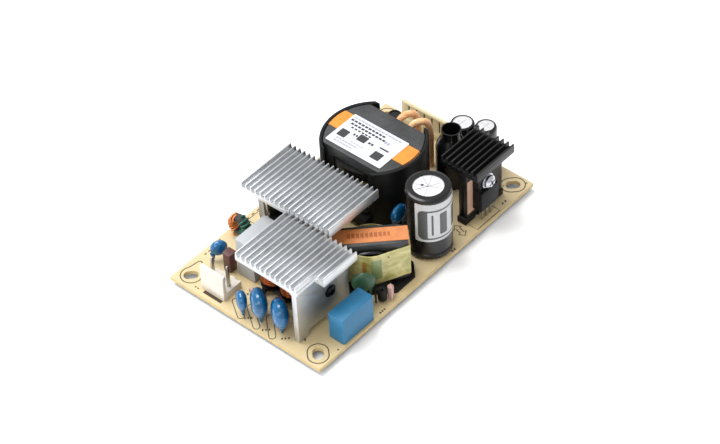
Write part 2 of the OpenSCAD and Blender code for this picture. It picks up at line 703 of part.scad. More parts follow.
module output_capacitor_sleeves() color("#1b1720") for (c = output_caps)
    translate([c[0], c[1], top]) difference() {
        rotate_extrude() can_profile(c[2], c[3], 1.1);
        translate([0, 0, -1]) cylinder(h = 5, r = c[2] - 1.6);
        translate([0, 0, 1]) cylinder(h = c[3] - 1.3, r = c[2] - 0.6);
        translate([0, 0, c[3] - 1]) cylinder(h = 2, r = c[2] - 1.1);
    }

module small_electrolytic() color("#18181c") {
    translate([electrolytic_at[0], electrolytic_at[1], top])
        rotate_extrude() can_profile(3.1, 14.2, 0.8);
    for (p = electrolytic_leads) lead(p, top, top + 0.6, 0.5);
}

// Boxed film parts: a potted shell with soft edges, standing on two leads
module boxed_part(at, size, leads, r, foot = 0.4) {
    soft_block([at[0], at[1], top + foot], [size[0], size[1], size[2] - foot], r);
    for (s = [0.06, 0.82]) block([at[0] + size[0] * s, at[1] + 0.6, top],
        [size[0] * 0.12, size[1] - 1.2, foot + eps]);
    for (p = leads) lead(p, top, top + foot + 0.3, 0.8);
}

module suppression_capacitor() color("#b9bcbf")
    boxed_part(suppression_at, suppression_size, suppression_leads, 0.5);

module film_capacitor() color("#3f8fbe") boxed_part(film_at, film_size, film_leads, 0.6);

module fuse() color("#5a3630") boxed_part(fuse_at, fuse_size, fuse_leads, 0.4);

module surge_disc(i) dipped_disc(surge_discs[i], surge_turn,
    [surge_leads[2 * i], surge_leads[2 * i + 1]]);

module surge_disc_small() color("#1f6fb2") surge_disc(0);
module surge_disc_middle() color("#1f6fb2") surge_disc(1);
module surge_disc_large() color("#1f6fb2") surge_disc(2);

module safety_capacitor() color("#2277b5")
    dipped_disc([safety_at[0], safety_at[1], 6.2, 3.5, 3.8], 150, safety_leads);

module inner_safety_capacitor() color("#1a5fa8") dipped_disc(inner_disc, 0, inner_leads);

module thermistor() color("#2f5e3a")
    dipped_disc([thermistor_at[0], thermistor_at[1], 10.2, 4.7, 3.2], -43, thermistor_leads);

// ---- chokes ----

// Heat-shrink sleeve: shrunk on the drum, with a sloping shoulder and an open collar above
module drum_choke_sleeve() color("#19191a") translate([drum_at[0], drum_at[1], top])
    rotate_extrude($fn = 64) difference() {
        sleeve_profile(0, 0.6);
        sleeve_profile(0.5, -1);
    }

module sleeve_profile(wall, foot) polygon([[0, foot], [drum_radius - wall, foot],
    [drum_radius - wall, 18.2 - wall], [drum_radius - wall - 0.3, 19.6 - wall],
    [drum_radius - wall - 1.1, 21.4 - wall], [collar_radius - wall + 0.2, 23.4 - wall],
    [collar_radius - wall, 24.6 - wall], [collar_radius - wall, collar_top + wall * 2],
    [0, collar_top + wall * 2]]);

// Wound drum core inside the sleeve
module drum_choke() color("#4a3426") {
    translate([drum_at[0], drum_at[1], top]) rotate_extrude() polygon([[0, 0.8], [5.4, 0.8],
        [5.4, 2.6], [4.9, 2.8], [4.9, drum_top - 4.6], [5.4, drum_top - 4.4],
        [5.4, drum_top - 2.6], [0, drum_top - 2.6]]);
    for (p = drum_leads) lead(p, top, top + 0.9, 1);
}

// Common mode choke: ring of two yokes and two legs, coils one behind the other
line_coil_z = [3.2, 3.2 + line_turns * line_wire + 1.4];
line_yoke = [5.6, 2.6];

module line_choke_core() color("#303032") {
    y0 = line_choke_legs[1] - 3.4;
    span = line_choke_legs[0] - line_choke_legs[1] + 6.8;
    for (z = [0.5, line_coil_z[1] + 1.2])
        block([line_choke_x - line_yoke[0] / 2, y0, top + z], [line_yoke[0], span, 1.9]);
    for (y = line_choke_legs) translate([line_choke_x, y, top + 2.3])
        cylinder(h = line_coil_z[1] - 1, r = 2.2);
}

module line_choke_bobbin() color("#1d1d1f") for (y = line_choke_legs)
    translate([line_choke_x, y, top]) {
        difference() {
            union() {
                translate([0, 0, 2.5]) cylinder(h = 0.8, r = line_coil_radius);
                translate([0, 0, line_coil_z[1] + 0.3]) cylinder(h = 0.8, r = line_coil_radius);
                translate([0, 0, 2.5]) cylinder(h = line_coil_z[1] - 1.5, r = 3);
            }
            translate([0, 0, 1]) cylinder(h = 40, r = 2.3);
        }
        for (s = [-1, 1]) {
            translate([s * 5 - 0.8, -0.8, 1.4]) cube([1.6, 1.6, 1.3]);
            translate([s * 4.2 - 1.2, -0.8, 2.45]) cube([2.4, 1.6, 0.8]);
            translate([s * 5, 0, 0]) cylinder(h = 1.5, d = 0.8, $fn = 16);
        }
    }

// Each coil is one winding of close round turns
module line_choke_coils() color("#b0603a") for (y = line_choke_legs)
    translate([line_choke_x, y, top + line_coil_z[0] + 0.7]) rotate_extrude($fn = 40) {
        translate([3.05, 0]) square([line_coil_radius - 3.75, line_turns * line_wire]);
        for (i = [0:line_turns - 1])
            translate([line_coil_radius - 0.75, (i + 0.5) * line_wire])
                circle(d = line_wire + 0.02, $fn = 16);
    }

// Small ring choke standing on its edge, wound with two insulated wires
module at_ring() translate([ring_at[0], ring_at[1], top + ring_height]) rotate([0, 90, 8])
    children();

module ring_choke_core() color("#3b3b3d") at_ring()
    rotate_extrude() translate([3.32, 0]) square([1.34, 3.4], center = true);

module ring_wire(first, turns, leads) {
    at_ring() for (i = [0:turns - 1]) rotate(first + i * 27) ring_loop();
    for (p = leads) lead(p, top, top + 1.6, 0.8);
}

// Square-cornered loop round the ring's section
module ring_loop() translate([3.3, 0, 0]) rotate([90, 0, 0]) translate([0, 0, -0.4])
    linear_extrude(0.8) difference() {
        round_rect(3, 5, 0.7);
        square([1.42, 3.44], center = true);
    }

module ring_choke_orange_wire() color("#e07b30") ring_wire(24.5, 6, [ring_leads[2], ring_leads[3]]);
module ring_choke_green_wire() color("#1f7a5c") ring_wire(-159.5, 6, [ring_leads[0], ring_leads[1]]);

// ---- headers ----

// Pin header: a base under the pins and a wall along one side that latches the plug.
// The wall's outer face is at local x = 0, and the base reaches depth towards +x.
module header_body(ways, depth, slits) {
    length = ways * header_pitch - 0.1;
    difference() {
        union() {
            cube([depth, length, header_base]);
            rotate([90, 0, 0]) translate([0, 0, -length]) linear_extrude(length)
                polygon([[0, 0], [header_wall + 0.4, 0], [header_wall + 0.4, header_base],
                    [header_wall, header_base + 1], [header_wall, header_wall_height - 2.6],
                    [header_wall + 0.6, header_wall_height - 1.8],
                    [header_wall + 0.1, header_wall_height], [0.7, header_wall_height],
                    [0.3, header_wall_height - 0.5]]);
        }
        // narrow windows between the springy fingers of the wall
        if (slits) for (i = [1:ways - 1])
            translate([-1, i * header_pitch - 0.4, header_wall_height - 6.8])
                cube([header_wall + 4, 0.7, 5.7]);
        // key grooves along the foot
        for (i = [0:ways - 1]) translate([depth - 0.5, (i + 0.5) * header_pitch - 0.9, -1])
            cube([2, 1.8, header_base + 2]);
    }
}

module header_pin(p, height) {
    h = height - 0.6;
    translate([p[0] - pin_side / 2, p[1] - pin_side / 2, top + header_base])
        cube([pin_side, pin_side, h - header_base]);
    translate([p[0], p[1], top + h]) rotate(45)
        cylinder(h = 0.6, d1 = pin_side * 1.414, d2 = pin_side * 0.7, $fn = 4);
}

module input_header() color("#efeae4") translate([input_header_at[0], input_header_at[1], top])
    header_body(input_header_ways, header_depth, false);

module input_pins() color("#d8d4c8") for (p = input_pin_places)
    header_pin(p, input_pin_height);

module output_header() color("#e6dcc4") translate([output_header_at[0], output_header_at[1], top])
    header_body(output_header_ways, 4.9, true);

module output_pins() color("#d8d4c8") for (p = output_pin_places)
    header_pin(p, output_pin_height);

// ---- small parts ----

// Axial part lying just above the board, its leads bent down at both ends
module axial_part(spot, d, body, half) translate([spot[0], spot[1], top]) rotate(spot[2]) {
    z = d / 2 + 0.4;
    translate([0, 0, z]) rotate([0, 90, 0]) rotate_extrude($fn = 24)
        polygon([[0, -body / 2], [d / 2 - 0.2, -body / 2], [d / 2, -body / 2 + 0.3],
            [d / 2, -body / 2 + 1.1], [d / 2 - 0.2, -body / 2 + 1.5], [d / 2 - 0.2, body / 2 - 1.5],
            [d / 2, body / 2 - 1.1], [d / 2, body / 2 - 0.3], [d / 2 - 0.2, body / 2],
            [0, body / 2]]);
    for (s = [-1, 1]) {
        rod([s * (body / 2 - 0.2), 0, z], [s * half, 0, z], 0.6);
        translate([s * half, 0, z]) sphere(d = 0.6, $fn = 16);
        translate([s * half, 0, 0]) cylinder(h = z, d = 0.6, $fn = 16);
    }
}

// Axial part stood on end, its upper lead bent back down beside it
module standing_part(spot, back, d, body, foot) {
    a = [spot[0], spot[1]];
    translate([a[0], a[1], top + foot]) cylinder(h = body, d = d);
    lead(a, top, top + foot + eps, 0.7);
    lead(a, top + foot + body - eps, top + foot + body + 1, 0.7);
    for (p = [a, back]) translate([p[0], p[1], top + foot + body + 1]) sphere(d = 0.76, $fn = 16);
    rod([a[0], a[1], top + foot + body + 1], [back[0], back[1], top + foot + body + 1], 0.7);
    lead(back, top, top + foot + body + 1, 0.7);
}

module axial_resistors() color("#c9b3a2") {
    for (r = resistor_spots) axial_part(r, 2.4, 6.3, 4.6);
    standing_part(standing_resistor_spot, standing_resistor_leads[1], 2.4, 5, 0.8);
}

module standing_diode() color("#1a1a1c")
    standing_part(diode_spot, diode_leads[1], 3.6, 4.6, 1.2);

board();
standing_joints();
solder_joints();
controller_chips();
input_heatsink();
primary_heatsink();
output_heatsink();
output_heatsink_foot();
bridge_rectifier();
bridge_screw();
transistor_bodies();
transistor_tabs();
transistor_screws();
insulating_pad();
rectifier_body();
rectifier_legs();
rectifier_screw();
transformer_core_lower();
transformer_core_upper();
transformer_cup();
transformer_bobbin();
transformer_winding();
transformer_band();
transformer_label();
transformer_leads();
inductor_core_lower();
inductor_core_upper();
inductor_bobbin();
inductor_winding();
inductor_belt();
inductor_strap();
bulk_capacitor_can();
bulk_capacitor_sleeve();
output_capacitor_cans();
output_capacitor_sleeves();
drum_choke();
drum_choke_sleeve();
input_header();
input_pins();
output_header();
output_pins();
fuse();
suppression_capacitor();
film_capacitor();
line_choke_core();
line_choke_bobbin();
line_choke_coils();
ring_choke_core();
ring_choke_orange_wire();
ring_choke_green_wire();
surge_disc_small();
surge_disc_middle();
surge_disc_large();
safety_capacitor();
inner_safety_capacitor();
thermistor();
small_electrolytic();
axial_resistors();
standing_diode();
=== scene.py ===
import json
import math
import bpy
import bmesh
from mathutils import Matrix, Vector


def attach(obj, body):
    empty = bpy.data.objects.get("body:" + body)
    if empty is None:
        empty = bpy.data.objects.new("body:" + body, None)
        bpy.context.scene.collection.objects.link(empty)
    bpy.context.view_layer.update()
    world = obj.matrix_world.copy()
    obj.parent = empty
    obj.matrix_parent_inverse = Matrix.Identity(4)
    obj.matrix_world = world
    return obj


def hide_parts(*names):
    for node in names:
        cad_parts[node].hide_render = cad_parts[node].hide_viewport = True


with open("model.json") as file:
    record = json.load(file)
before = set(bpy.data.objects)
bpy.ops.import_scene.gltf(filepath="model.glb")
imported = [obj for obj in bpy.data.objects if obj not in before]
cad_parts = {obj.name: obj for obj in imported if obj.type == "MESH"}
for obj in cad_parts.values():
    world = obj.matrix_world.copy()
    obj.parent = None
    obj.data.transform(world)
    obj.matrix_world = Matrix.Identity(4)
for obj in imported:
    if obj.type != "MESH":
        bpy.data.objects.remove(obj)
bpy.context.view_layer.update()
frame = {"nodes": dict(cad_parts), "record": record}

nodes = frame["nodes"]
mm = 0.001
print("frame loaded:", len(nodes), "solids")


def linear(hexColour):
    # sRGB hex to the linear values that shaders take
    parts = [int(hexColour[i:i + 2], 16) / 255 for i in (1, 3, 5)]
    return tuple(c / 12.92 if c < 0.04045 else ((c + 0.055) / 1.055) ** 2.4 for c in parts) + (1.0,)


def toned(hexColour, factor):
    # the same colour, darker or lighter
    return tuple(min(1, c * factor) for c in linear(hexColour)[:3]) + (1,)


def perMetre(size):
    # a pattern's scale from the size of its features in mm
    return 1000.0 / size


def feed(tree, node, inputs):
    # sets a node's inputs to values, or links them to the outputs of other nodes
    for key, value in inputs.items():
        if isinstance(value, bpy.types.NodeSocket):
            tree.links.new(value, node.inputs[key])
        else:
            node.inputs[key].default_value = value


def add(tree, kind, inputs=None, stops=None, **settings):
    # one node with its settings, its inputs and the stops of a colour ramp
    made = tree.nodes.new(kind)
    for key, value in settings.items():
        setattr(made, key, value)
    feed(tree, made, inputs or {})
    if stops:
        ramp = made.color_ramp
        while len(ramp.elements) < len(stops):
            ramp.elements.new(1.0)
        for element, (place, colour) in zip(ramp.elements, stops):
            element.position = place
            element.color = colour
    return made


def material(name, build):
    # a material whose build function wires the Principled shader it is given
    made = bpy.data.materials.new(name)
    made.use_nodes = True
    tree = made.node_tree
    where = add(tree, "ShaderNodeTexCoord").outputs["Object"]
    build(tree, tree.nodes["Principled BSDF"], where)
    return made


# finishes; the pattern sizes in them are in mm

def plasticFinish(hexColour, roughness=0.42, grain=0.35, vary=0.12, bump=0.12, coat=0.0, glint=0.5):
    # moulded plastic, lacquer or ink: faint cloudiness, a fine grain and small changes of gloss
    def build(tree, shader, where):
        cloud = add(tree, "ShaderNodeTexNoise", {"Vector": where, "Scale": perMetre(5.56), "Detail": 3.0})
        tint = add(tree, "ShaderNodeValToRGB", {"Fac": cloud.outputs["Fac"]},
                   stops=[(0.3, toned(hexColour, 1 - vary)), (0.7, toned(hexColour, 1 + vary))])
        grains = add(tree, "ShaderNodeTexNoise", {"Vector": where, "Scale": perMetre(grain), "Detail": 2.0})
        gloss = add(tree, "ShaderNodeMapRange", {"Value": cloud.outputs["Fac"],
                    "To Min": roughness - 0.06, "To Max": roughness + 0.08})
        bumped = add(tree, "ShaderNodeBump", {"Height": grains.outputs["Fac"],
                     "Strength": bump, "Distance": 0.00005})
        feed(tree, shader, {
            "Base Color": tint.outputs["Color"], "Roughness": gloss.outputs["Result"],
            "Normal": bumped.outputs["Normal"], "IOR": 1.5, "Specular IOR Level": glint,
            "Coat Weight": coat, "Coat Roughness": 0.08})
    return build


def metalFinish(hexColour, roughness=0.3, streak=(16.7, 0.4, 0.4), depth=0.25, vary=0.1):
    # drawn, rolled or plated metal: streaks that run along the axis where their size is largest
    def build(tree, shader, where):
        stretched = add(tree, "ShaderNodeMapping", {"Vector": where,
                        "Scale": tuple(perMetre(size) for size in streak)})
        lines = add(tree, "ShaderNodeTexNoise",
                    {"Vector": stretched.outputs["Vector"], "Scale": 1.0, "Detail": 4.0})
        cloud = add(tree, "ShaderNodeTexNoise", {"Vector": where, "Scale": perMetre(11.1), "Detail": 3.0})
        tint = add(tree, "ShaderNodeValToRGB", {"Fac": cloud.outputs["Fac"]},
                   stops=[(0.25, toned(hexColour, 1 - vary)), (0.65, linear(hexColour))])
        gloss = add(tree, "ShaderNodeMapRange", {"Value": lines.outputs["Fac"],
                    "To Min": roughness - 0.08, "To Max": roughness + 0.12})
        bumped = add(tree, "ShaderNodeBump", {"Height": lines.outputs["Fac"],
                     "Strength": depth, "Distance": 0.00003})
        feed(tree, shader, {
            "Base Color": tint.outputs["Color"], "Roughness": gloss.outputs["Result"],
            "Normal": bumped.outputs["Normal"], "Metallic": 1.0})
    return build


def dippedFinish(hexColour, roughness=0.16, lump=5.0, coat=0.6):
    # parts dipped in epoxy: wet gloss over a slightly uneven skin
    def build(tree, shader, where):
        swell = add(tree, "ShaderNodeTexNoise", {"Vector": where, "Scale": perMetre(lump), "Detail": 1.0})
        tint = add(tree, "ShaderNodeValToRGB", {"Fac": swell.outputs["Fac"]},
                   stops=[(0.3, toned(hexColour, 0.72)), (0.75, toned(hexColour, 1.25))])
        bumped = add(tree, "ShaderNodeBump", {"Height": swell.outputs["Fac"],
                     "Strength": 0.35, "Distance": 0.0004})
        feed(tree, shader, {
            "Base Color": tint.outputs["Color"], "Normal": bumped.outputs["Normal"],
            "Roughness": roughness, "Coat Weight": coat, "Coat Roughness": 0.05})
    return build


def tapeFinish(hexColour, roughness=0.3, wrinkle=3.0):
    # polyester or polyimide tape: glossy film with soft wrinkles
    def build(tree, shader, where):
        folds = add(tree, "ShaderNodeTexNoise",
                    {"Vector": where, "Scale": perMetre(wrinkle), "Detail": 3.0, "Distortion": 0.6})
        tint = add(tree, "ShaderNodeValToRGB", {"Fac": folds.outputs["Fac"]},
                   stops=[(0.3, toned(hexColour, 0.82)), (0.65, linear(hexColour))])
        bumped = add(tree, "ShaderNodeBump", {"Height": folds.outputs["Fac"],
                     "Strength": 0.3, "Distance": 0.0003})
        feed(tree, shader, {
            "Base Color": tint.outputs["Color"], "Normal": bumped.outputs["Normal"],
            "Roughness": roughness, "Coat Weight": 0.3, "Coat Roughness": 0.15})
    return build


def beltFinish(tree, shader, where):
    # clear yellow tape over a coil: greener in its 5 mm wrinkles, with faint turns 2.86 mm apart
    folds = add(tree, "ShaderNodeTexNoise",
                {"Vector": where, "Scale": perMetre(5.0), "Detail": 3.0, "Distortion": 0.8})
    waves = perMetre(2.86) * math.pi / 10  # a wave texture repeats every pi / 10
    turns = add(tree, "ShaderNodeTexWave", {"Vector": where, "Scale": waves, "Distortion": 0.6,
                "Detail": 1.0}, bands_direction="Z")
    tint = add(tree, "ShaderNodeValToRGB", {"Fac": folds.outputs["Fac"]},
               stops=[(0.28, linear("#8f8b4c")), (0.5, linear("#ada567")), (0.72, linear("#c3bb82"))])
    shaded = add(tree, "ShaderNodeMix", {0: 0.1, 6: tint.outputs["Color"], 7: turns.outputs["Color"]},
                 data_type="RGBA", blend_type="SOFT_LIGHT")
    bumped = add(tree, "ShaderNodeBump", {"Height": folds.outputs["Fac"], "Strength": 0.35,
                 "Distance": 0.0004})
    feed(tree, shader, {
        "Base Color": shaded.outputs[2], "Normal": bumped.outputs["Normal"], "Roughness": 0.24,
        "Coat Weight": 0.3, "Coat Roughness": 0.1})


def sleevingFinish(tree, shader, where):
    # braided sleeving dipped in silicone: slanting threads, drawn 1.13 mm apart so that they show
    threads = perMetre(1.134) * math.pi / (5 * math.sqrt(3))  # slanting waves repeat at this length
    over = add(tree, "ShaderNodeTexWave", {"Vector": where, "Scale": threads, "Distortion": 1.0},
               bands_direction="DIAGONAL")
    cloud = add(tree, "ShaderNodeTexNoise", {"Vector": where, "Scale": perMetre(2.5), "Detail": 2.0})
    tint = add(tree, "ShaderNodeValToRGB", {"Fac": cloud.outputs["Fac"]},
               stops=[(0.3, linear("#d59a62")), (0.7, linear("#f0c294"))])
    bumped = add(tree, "ShaderNodeBump", {"Height": over.outputs["Fac"], "Strength": 0.25,
                 "Distance": 0.0001})
    feed(tree, shader, {
        "Base Color": tint.outputs["Color"], "Normal": bumped.outputs["Normal"], "Roughness": 0.5})


def laminateFinish(tree, shader, where):
    # pale tan laminate: faint weave on top, cut layers on the edges, dark green tracks and resist below
    facing = add(tree, "ShaderNodeSeparateXYZ",
                 {"Vector": add(tree, "ShaderNodeNewGeometry").outputs["True Normal"]})
    cloud = add(tree, "ShaderNodeTexNoise", {"Vector": where, "Scale": perMetre(16.7), "Detail": 4.0})
    weave = add(tree, "ShaderNodeTexNoise", {"Vector": where, "Scale": perMetre(0.714), "Detail": 2.0})
    topTint = add(tree, "ShaderNodeValToRGB", {"Fac": cloud.outputs["Fac"]},
                  stops=[(0.3, linear("#c2ae82")), (0.7, linear("#cdbb93"))])
    flattened = add(tree, "ShaderNodeMapping",
                    {"Vector": where, "Scale": (perMetre(3.33), perMetre(3.33), perMetre(0.167))})
    layers = add(tree, "ShaderNodeTexNoise", {"Vector": flattened.outputs["Vector"], "Scale": 1.0})
    edgeTint = add(tree, "ShaderNodeValToRGB", {"Fac": layers.outputs["Fac"]},
                   stops=[(0.35, linear("#a98d58")), (0.65, linear("#cdb681"))])
    tracks = add(tree, "ShaderNodeTexVoronoi", {"Vector": where, "Scale": perMetre(10.53)},
                 feature="DISTANCE_TO_EDGE", distance="CHEBYCHEV")
    trackTint = add(tree, "ShaderNodeValToRGB", {"Fac": tracks.outputs["Distance"]},
                    stops=[(0.05, linear("#1d3b29")), (0.09, linear("#2c4a33"))])
    upright = add(tree, "ShaderNodeMath", {0: facing.outputs["Z"]}, operation="ABSOLUTE")
    isEdge = add(tree, "ShaderNodeMath", {0: upright.outputs[0], 1: 0.5}, operation="LESS_THAN")
    isBelow = add(tree, "ShaderNodeMath", {0: facing.outputs["Z"], 1: -0.5}, operation="LESS_THAN")
    sides = add(tree, "ShaderNodeMix", {0: isEdge.outputs[0], 6: topTint.outputs["Color"],
                7: edgeTint.outputs["Color"]}, data_type="RGBA")
    tint = add(tree, "ShaderNodeMix", {0: isBelow.outputs[0], 6: sides.outputs[2],
               7: trackTint.outputs["Color"]}, data_type="RGBA")
    gloss = add(tree, "ShaderNodeMapRange", {"Value": weave.outputs["Fac"],
                "To Min": 0.36, "To Max": 0.5})
    bumped = add(tree, "ShaderNodeBump", {"Height": weave.outputs["Fac"], "Strength": 0.15,
                 "Distance": 0.00004})
    feed(tree, shader, {
        "Base Color": tint.outputs[2], "Roughness": gloss.outputs["Result"],
        "Normal": bumped.outputs["Normal"]})


def ferriteFinish(tree, shader, where):
    # pressed and ground ferrite: matt charcoal with light and dark grains of about 0.4 mm
    grains = add(tree, "ShaderNodeTexNoise", {"Vector": where, "Scale": perMetre(0.385), "Detail": 3.0})
    cloud = add(tree, "ShaderNodeTexNoise", {"Vector": where, "Scale": perMetre(8.33), "Detail": 2.0})
    mixed = add(tree, "ShaderNodeMath", {0: grains.outputs["Fac"], 1: cloud.outputs["Fac"]},
                operation="MULTIPLY")
    tint = add(tree, "ShaderNodeValToRGB", {"Fac": mixed.outputs[0]},
               stops=[(0.12, linear("#1d1e1f")), (0.4, linear("#3f4041"))])
    bumped = add(tree, "ShaderNodeBump", {"Height": grains.outputs["Fac"], "Strength": 0.3,
                 "Distance": 0.00006})
    feed(tree, shader, {
        "Base Color": tint.outputs["Color"], "Normal": bumped.outputs["Normal"], "Roughness": 0.55})


# metals: what each surface gives the eye
finishes = {
    "solder": material(  # froze bright, with no direction in it
        "brightSolder", metalFinish("#b9babd", 0.24, streak=(1.11,) * 3, depth=0.3)),
    "bare_aluminium": material(  # satin, with lines along the extrusion
        "extrudedAluminium", metalFinish("#d0d2d4", 0.42, depth=0.45, vary=0.14)),
    "zinc_steel": material(  # bright plating with a cool tone
        "zincPlatedSteel", metalFinish("#c4c6cb", 0.22, streak=(2.0,) * 3, depth=0.2)),
    "dark_screw": material(  # dark grey sheen
        "blackOxideSteel", metalFinish("#2a2b2d", 0.35, streak=(2.0,) * 3, depth=0.2)),
    "tinned_copper": material(  # warm grey, drawn along the upright legs and pins
        "tinnedCopper", metalFinish("#b8b3a8", 0.28, streak=(1.43, 1.43, 11.1), depth=0.2)),
    "copper_wire": material(  # dark red-brown gloss of enamel on copper
        "enamelledCopper", metalFinish("#a4552c", 0.26, streak=(3.33, 3.33, 0.4), depth=0.2)),
    "can_aluminium": material(  # pale and matt from etching
        "etchedCanTop", metalFinish("#dcdcde", 0.5, streak=(1.43,) * 3, depth=0.15)),
}

# plastics, tapes, coatings and ceramics
finishes.update({
    "laminate": material("lacqueredLaminate", laminateFinish),
    "black_aluminium": material(  # satin black dye
        "blackAnodisedAluminium", plasticFinish("#0d0d0f", 0.38, grain=0.2, vary=0.2, glint=0.4)),
    "moulded_black": material(  # dull black with a fine grain
        "blackMouldedEpoxy", plasticFinish("#0a0a0b", 0.48, grain=0.25, vary=0.2, bump=0.2, glint=0.22)),
    "thermal_pad": material(  # dull and soft
        "siliconePad", plasticFinish("#b8937c", 0.6, grain=0.6, vary=0.1, bump=0.3)),
    "ferrite": material("groundFerrite", ferriteFinish),
    "coil_tape": material("yellowCoilTape", tapeFinish("#b9a72f", 0.28)),
    "orange_tape": material("orangePolyimideTape", tapeFinish("#dc8829", 0.35, wrinkle=4.0)),
    "copper_tape": material("copperOrangeTape", tapeFinish("#c97c46", 0.35)),
    "belt_tape": material("clearYellowTape", beltFinish),
    "label": material(  # even, slightly cool white with a low sheen
        "whiteFilmLabel", plasticFinish("#c9ccd3", 0.42, grain=0.5, vary=0.03, bump=0.05)),
    "lead_sleeve": material("peachSleeving", sleevingFinish),
    "orange_wire": material("orangeWire", plasticFinish("#cf7c42", 0.28, grain=0.3, vary=0.2)),
    "green_wire": material("greenWire", plasticFinish("#115a48", 0.3, grain=0.3, vary=0.15)),
    "sleeve_black": material(  # shrunk tight and glossy, with slow ripples
        "blackShrinkSleeve",
        plasticFinish("#0b0b0d", 0.26, grain=0.9, vary=0.2, bump=0.1, coat=0.1, glint=0.4)),
    "white_nylon": material("whiteNylon", plasticFinish("#cfc8bd", 0.45, grain=0.4, vary=0.05, bump=0.1)),
    "ivory_nylon": material("ivoryNylon", plasticFinish("#cbbf9b", 0.45, grain=0.4, vary=0.05, bump=0.1)),
    "fuse_maroon": material("maroonPhenolic", plasticFinish("#57322f", grain=0.3, vary=0.1)),
    "grey_box": material("greyMouldedCase", plasticFinish("#a3a6a9", 0.45, grain=0.3, vary=0.04, bump=0.1)),
    "blue_box": material("blueMouldedCase", plasticFinish("#176890", 0.44, grain=0.3, vary=0.1, bump=0.2)),
    "blue_disc": material("blueDippedEpoxy", dippedFinish("#035583", 0.18, coat=0.35)),
    "green_disc": material("greenDippedSilicone", dippedFinish("#24482f", 0.4, lump=3.0, coat=0.1)),
    "axial_body": material("lacqueredResistor", plasticFinish("#b99891", 0.35, grain=0.4, vary=0.1)),
})


def inkFinish(hexColour, roughness, vary, bump):
    # a thin even layer of ink
    return plasticFinish(hexColour, roughness, grain=0.3, vary=vary, bump=bump)


# among the inks, the can top's score strips and the header's slot blocks are painted shade
inks = {  # printed fields and small trims
    # brown silk print, also used as the painted shade in the output header's latch slots
    "silkPrintAndSlotShade": material("brownSilkPrintAndSlotShade", inkFinish("#382a1a", 0.6, 0.15, 0.1)),
    "darkPrint": material("blackFilmPrint", inkFinish("#2b2b2e", 0.5, 0.15, 0.05)),
    "greyPrint": material("greyFilmPrint", inkFinish("#9c9ca3", 0.5, 0.1, 0.05)),
    "silverPrint": material(
        "silverSleevePrint", plasticFinish("#b4b6b8", 0.32, grain=0.4, vary=0.06, bump=0.08, coat=0.2)),
    "frameInk": material(
        "graphiteSleevePrint", plasticFinish("#3d4043", 0.34, grain=0.4, vary=0.1, bump=0.08, coat=0.2)),
    "brownMark": material("brownTapePrint", inkFinish("#9c5426", 0.45, 0.15, 0.05)),
    "greenPanel": material("greenTintedTape", tapeFinish("#7c8c5c", 0.24, wrinkle=4.0)),
    "copperGlint": material("copperUnderTape", tapeFinish("#a5762f", 0.24, wrinkle=2.0)),
    "violetBand": material("violetResistorBand", inkFinish("#6b3f78", 0.35, 0.1, 0.12)),
    "brownBand": material("brownResistorBand", inkFinish("#5b3520", 0.35, 0.1, 0.12)),
    # painted shade: grey for the grooves of the pressed scores on the can's top
    "score": material("paintedScoreGrooveShade", inkFinish("#8d8d90", 0.5, 0.1, 0.12)),
}
slotOf = {row["node"]: row["material_slot"] for row in frame["record"]["subparts"]}
print("finishes made:", len(finishes))


def handOver(piece, finish, replaced=()):
    # dresses a finished piece and hands it to the frame
    piece.data.materials.clear()
    piece.data.materials.append(finish)
    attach(piece, "root")
    for name in replaced:
        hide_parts(name)


# solids that keep their form and get round edges

edgePlan = {
    "merge": 0.000004,  # metres, nearer corners become one
    "flat": 1.0, "bevelFrom": 32, "sharpFrom": 38, "segments": 2,  # degrees, and steps in an edge
    "widths": {  # mm
        "input_heatsink": 0.12, "primary_heatsink": 0.12, "output_heatsink": 0.12,
        "output_heatsink_foot": 0.15, "bridge_rectifier": 0.2, "transistor_bodies": 0.15,
        "rectifier_body": 0.15, "transistor_tabs": 0.08, "fuse": 0.2, "suppression_capacitor": 0.25,
        "film_capacitor": 0.25, "input_header": 0.15, "output_header": 0.15, "input_pins": 0.08,
        "output_pins": 0.08, "inductor_core_upper": 0.35, "inductor_core_lower": 0.35,
        "transformer_core_upper": 0.2, "transformer_core_lower": 0.2, "line_choke_core": 0.25,
        "transformer_cup": 0.2, "controller_chips": 0.08, "inductor_bobbin": 0.15,
    },
}


def softened(name, width):
    # a copy of a solid with its sharp edges rounded by width in mm
    mesh = nodes[name].data.copy()
    work = bmesh.new()
    work.from_mesh(mesh)
    bmesh.ops.remove_doubles(work, verts=work.verts, dist=edgePlan["merge"])
    bmesh.ops.dissolve_limit(work, angle_limit=math.radians(edgePlan["flat"]),
                             verts=work.verts, edges=work.edges)
    bmesh.ops.recalc_face_normals(work, faces=work.faces)
    work.to_mesh(mesh)
    work.free()
    piece = bpy.data.objects.new(name + "Finished", mesh)
    bpy.context.scene.collection.objects.link(piece)
    bevel = piece.modifiers.new("edges", "BEVEL")
    bevel.width = width * mm
    bevel.segments = edgePlan["segments"]
    bevel.limit_method = "ANGLE"
    bevel.angle_limit = math.radians(edgePlan["bevelFrom"])
    bevel.use_clamp_overlap = True
    bevel.harden_normals = False
    solid = bpy.data.meshes.new_from_object(piece.evaluated_get(bpy.context.evaluated_depsgraph_get()))
    piece.modifiers.clear()
    piece.data = solid
    solid.shade_smooth()
    solid.set_sharp_from_angle(angle=math.radians(edgePlan["sharpFrom"]))
    handOver(piece, finishes[slotOf[name]], [name])


for name, width in edgePlan["widths"].items():
    softened(name, width)
for name, solid in nodes.items():
    if name not in edgePlan["widths"]:
        solid.data.materials.clear()
        solid.data.materials.append(finishes[slotOf[name]])
        for face in solid.data.polygons:
            face.material_index = 0
print("solids finished:", len(edgePlan["widths"]))


# prints, tapes and trims are laid on the solids; these place and draw them

def flat(height):
    # maps u, w and a rise in mm onto a level face
    return lambda u, w, rise: Vector((u, w, height + rise)) * mm


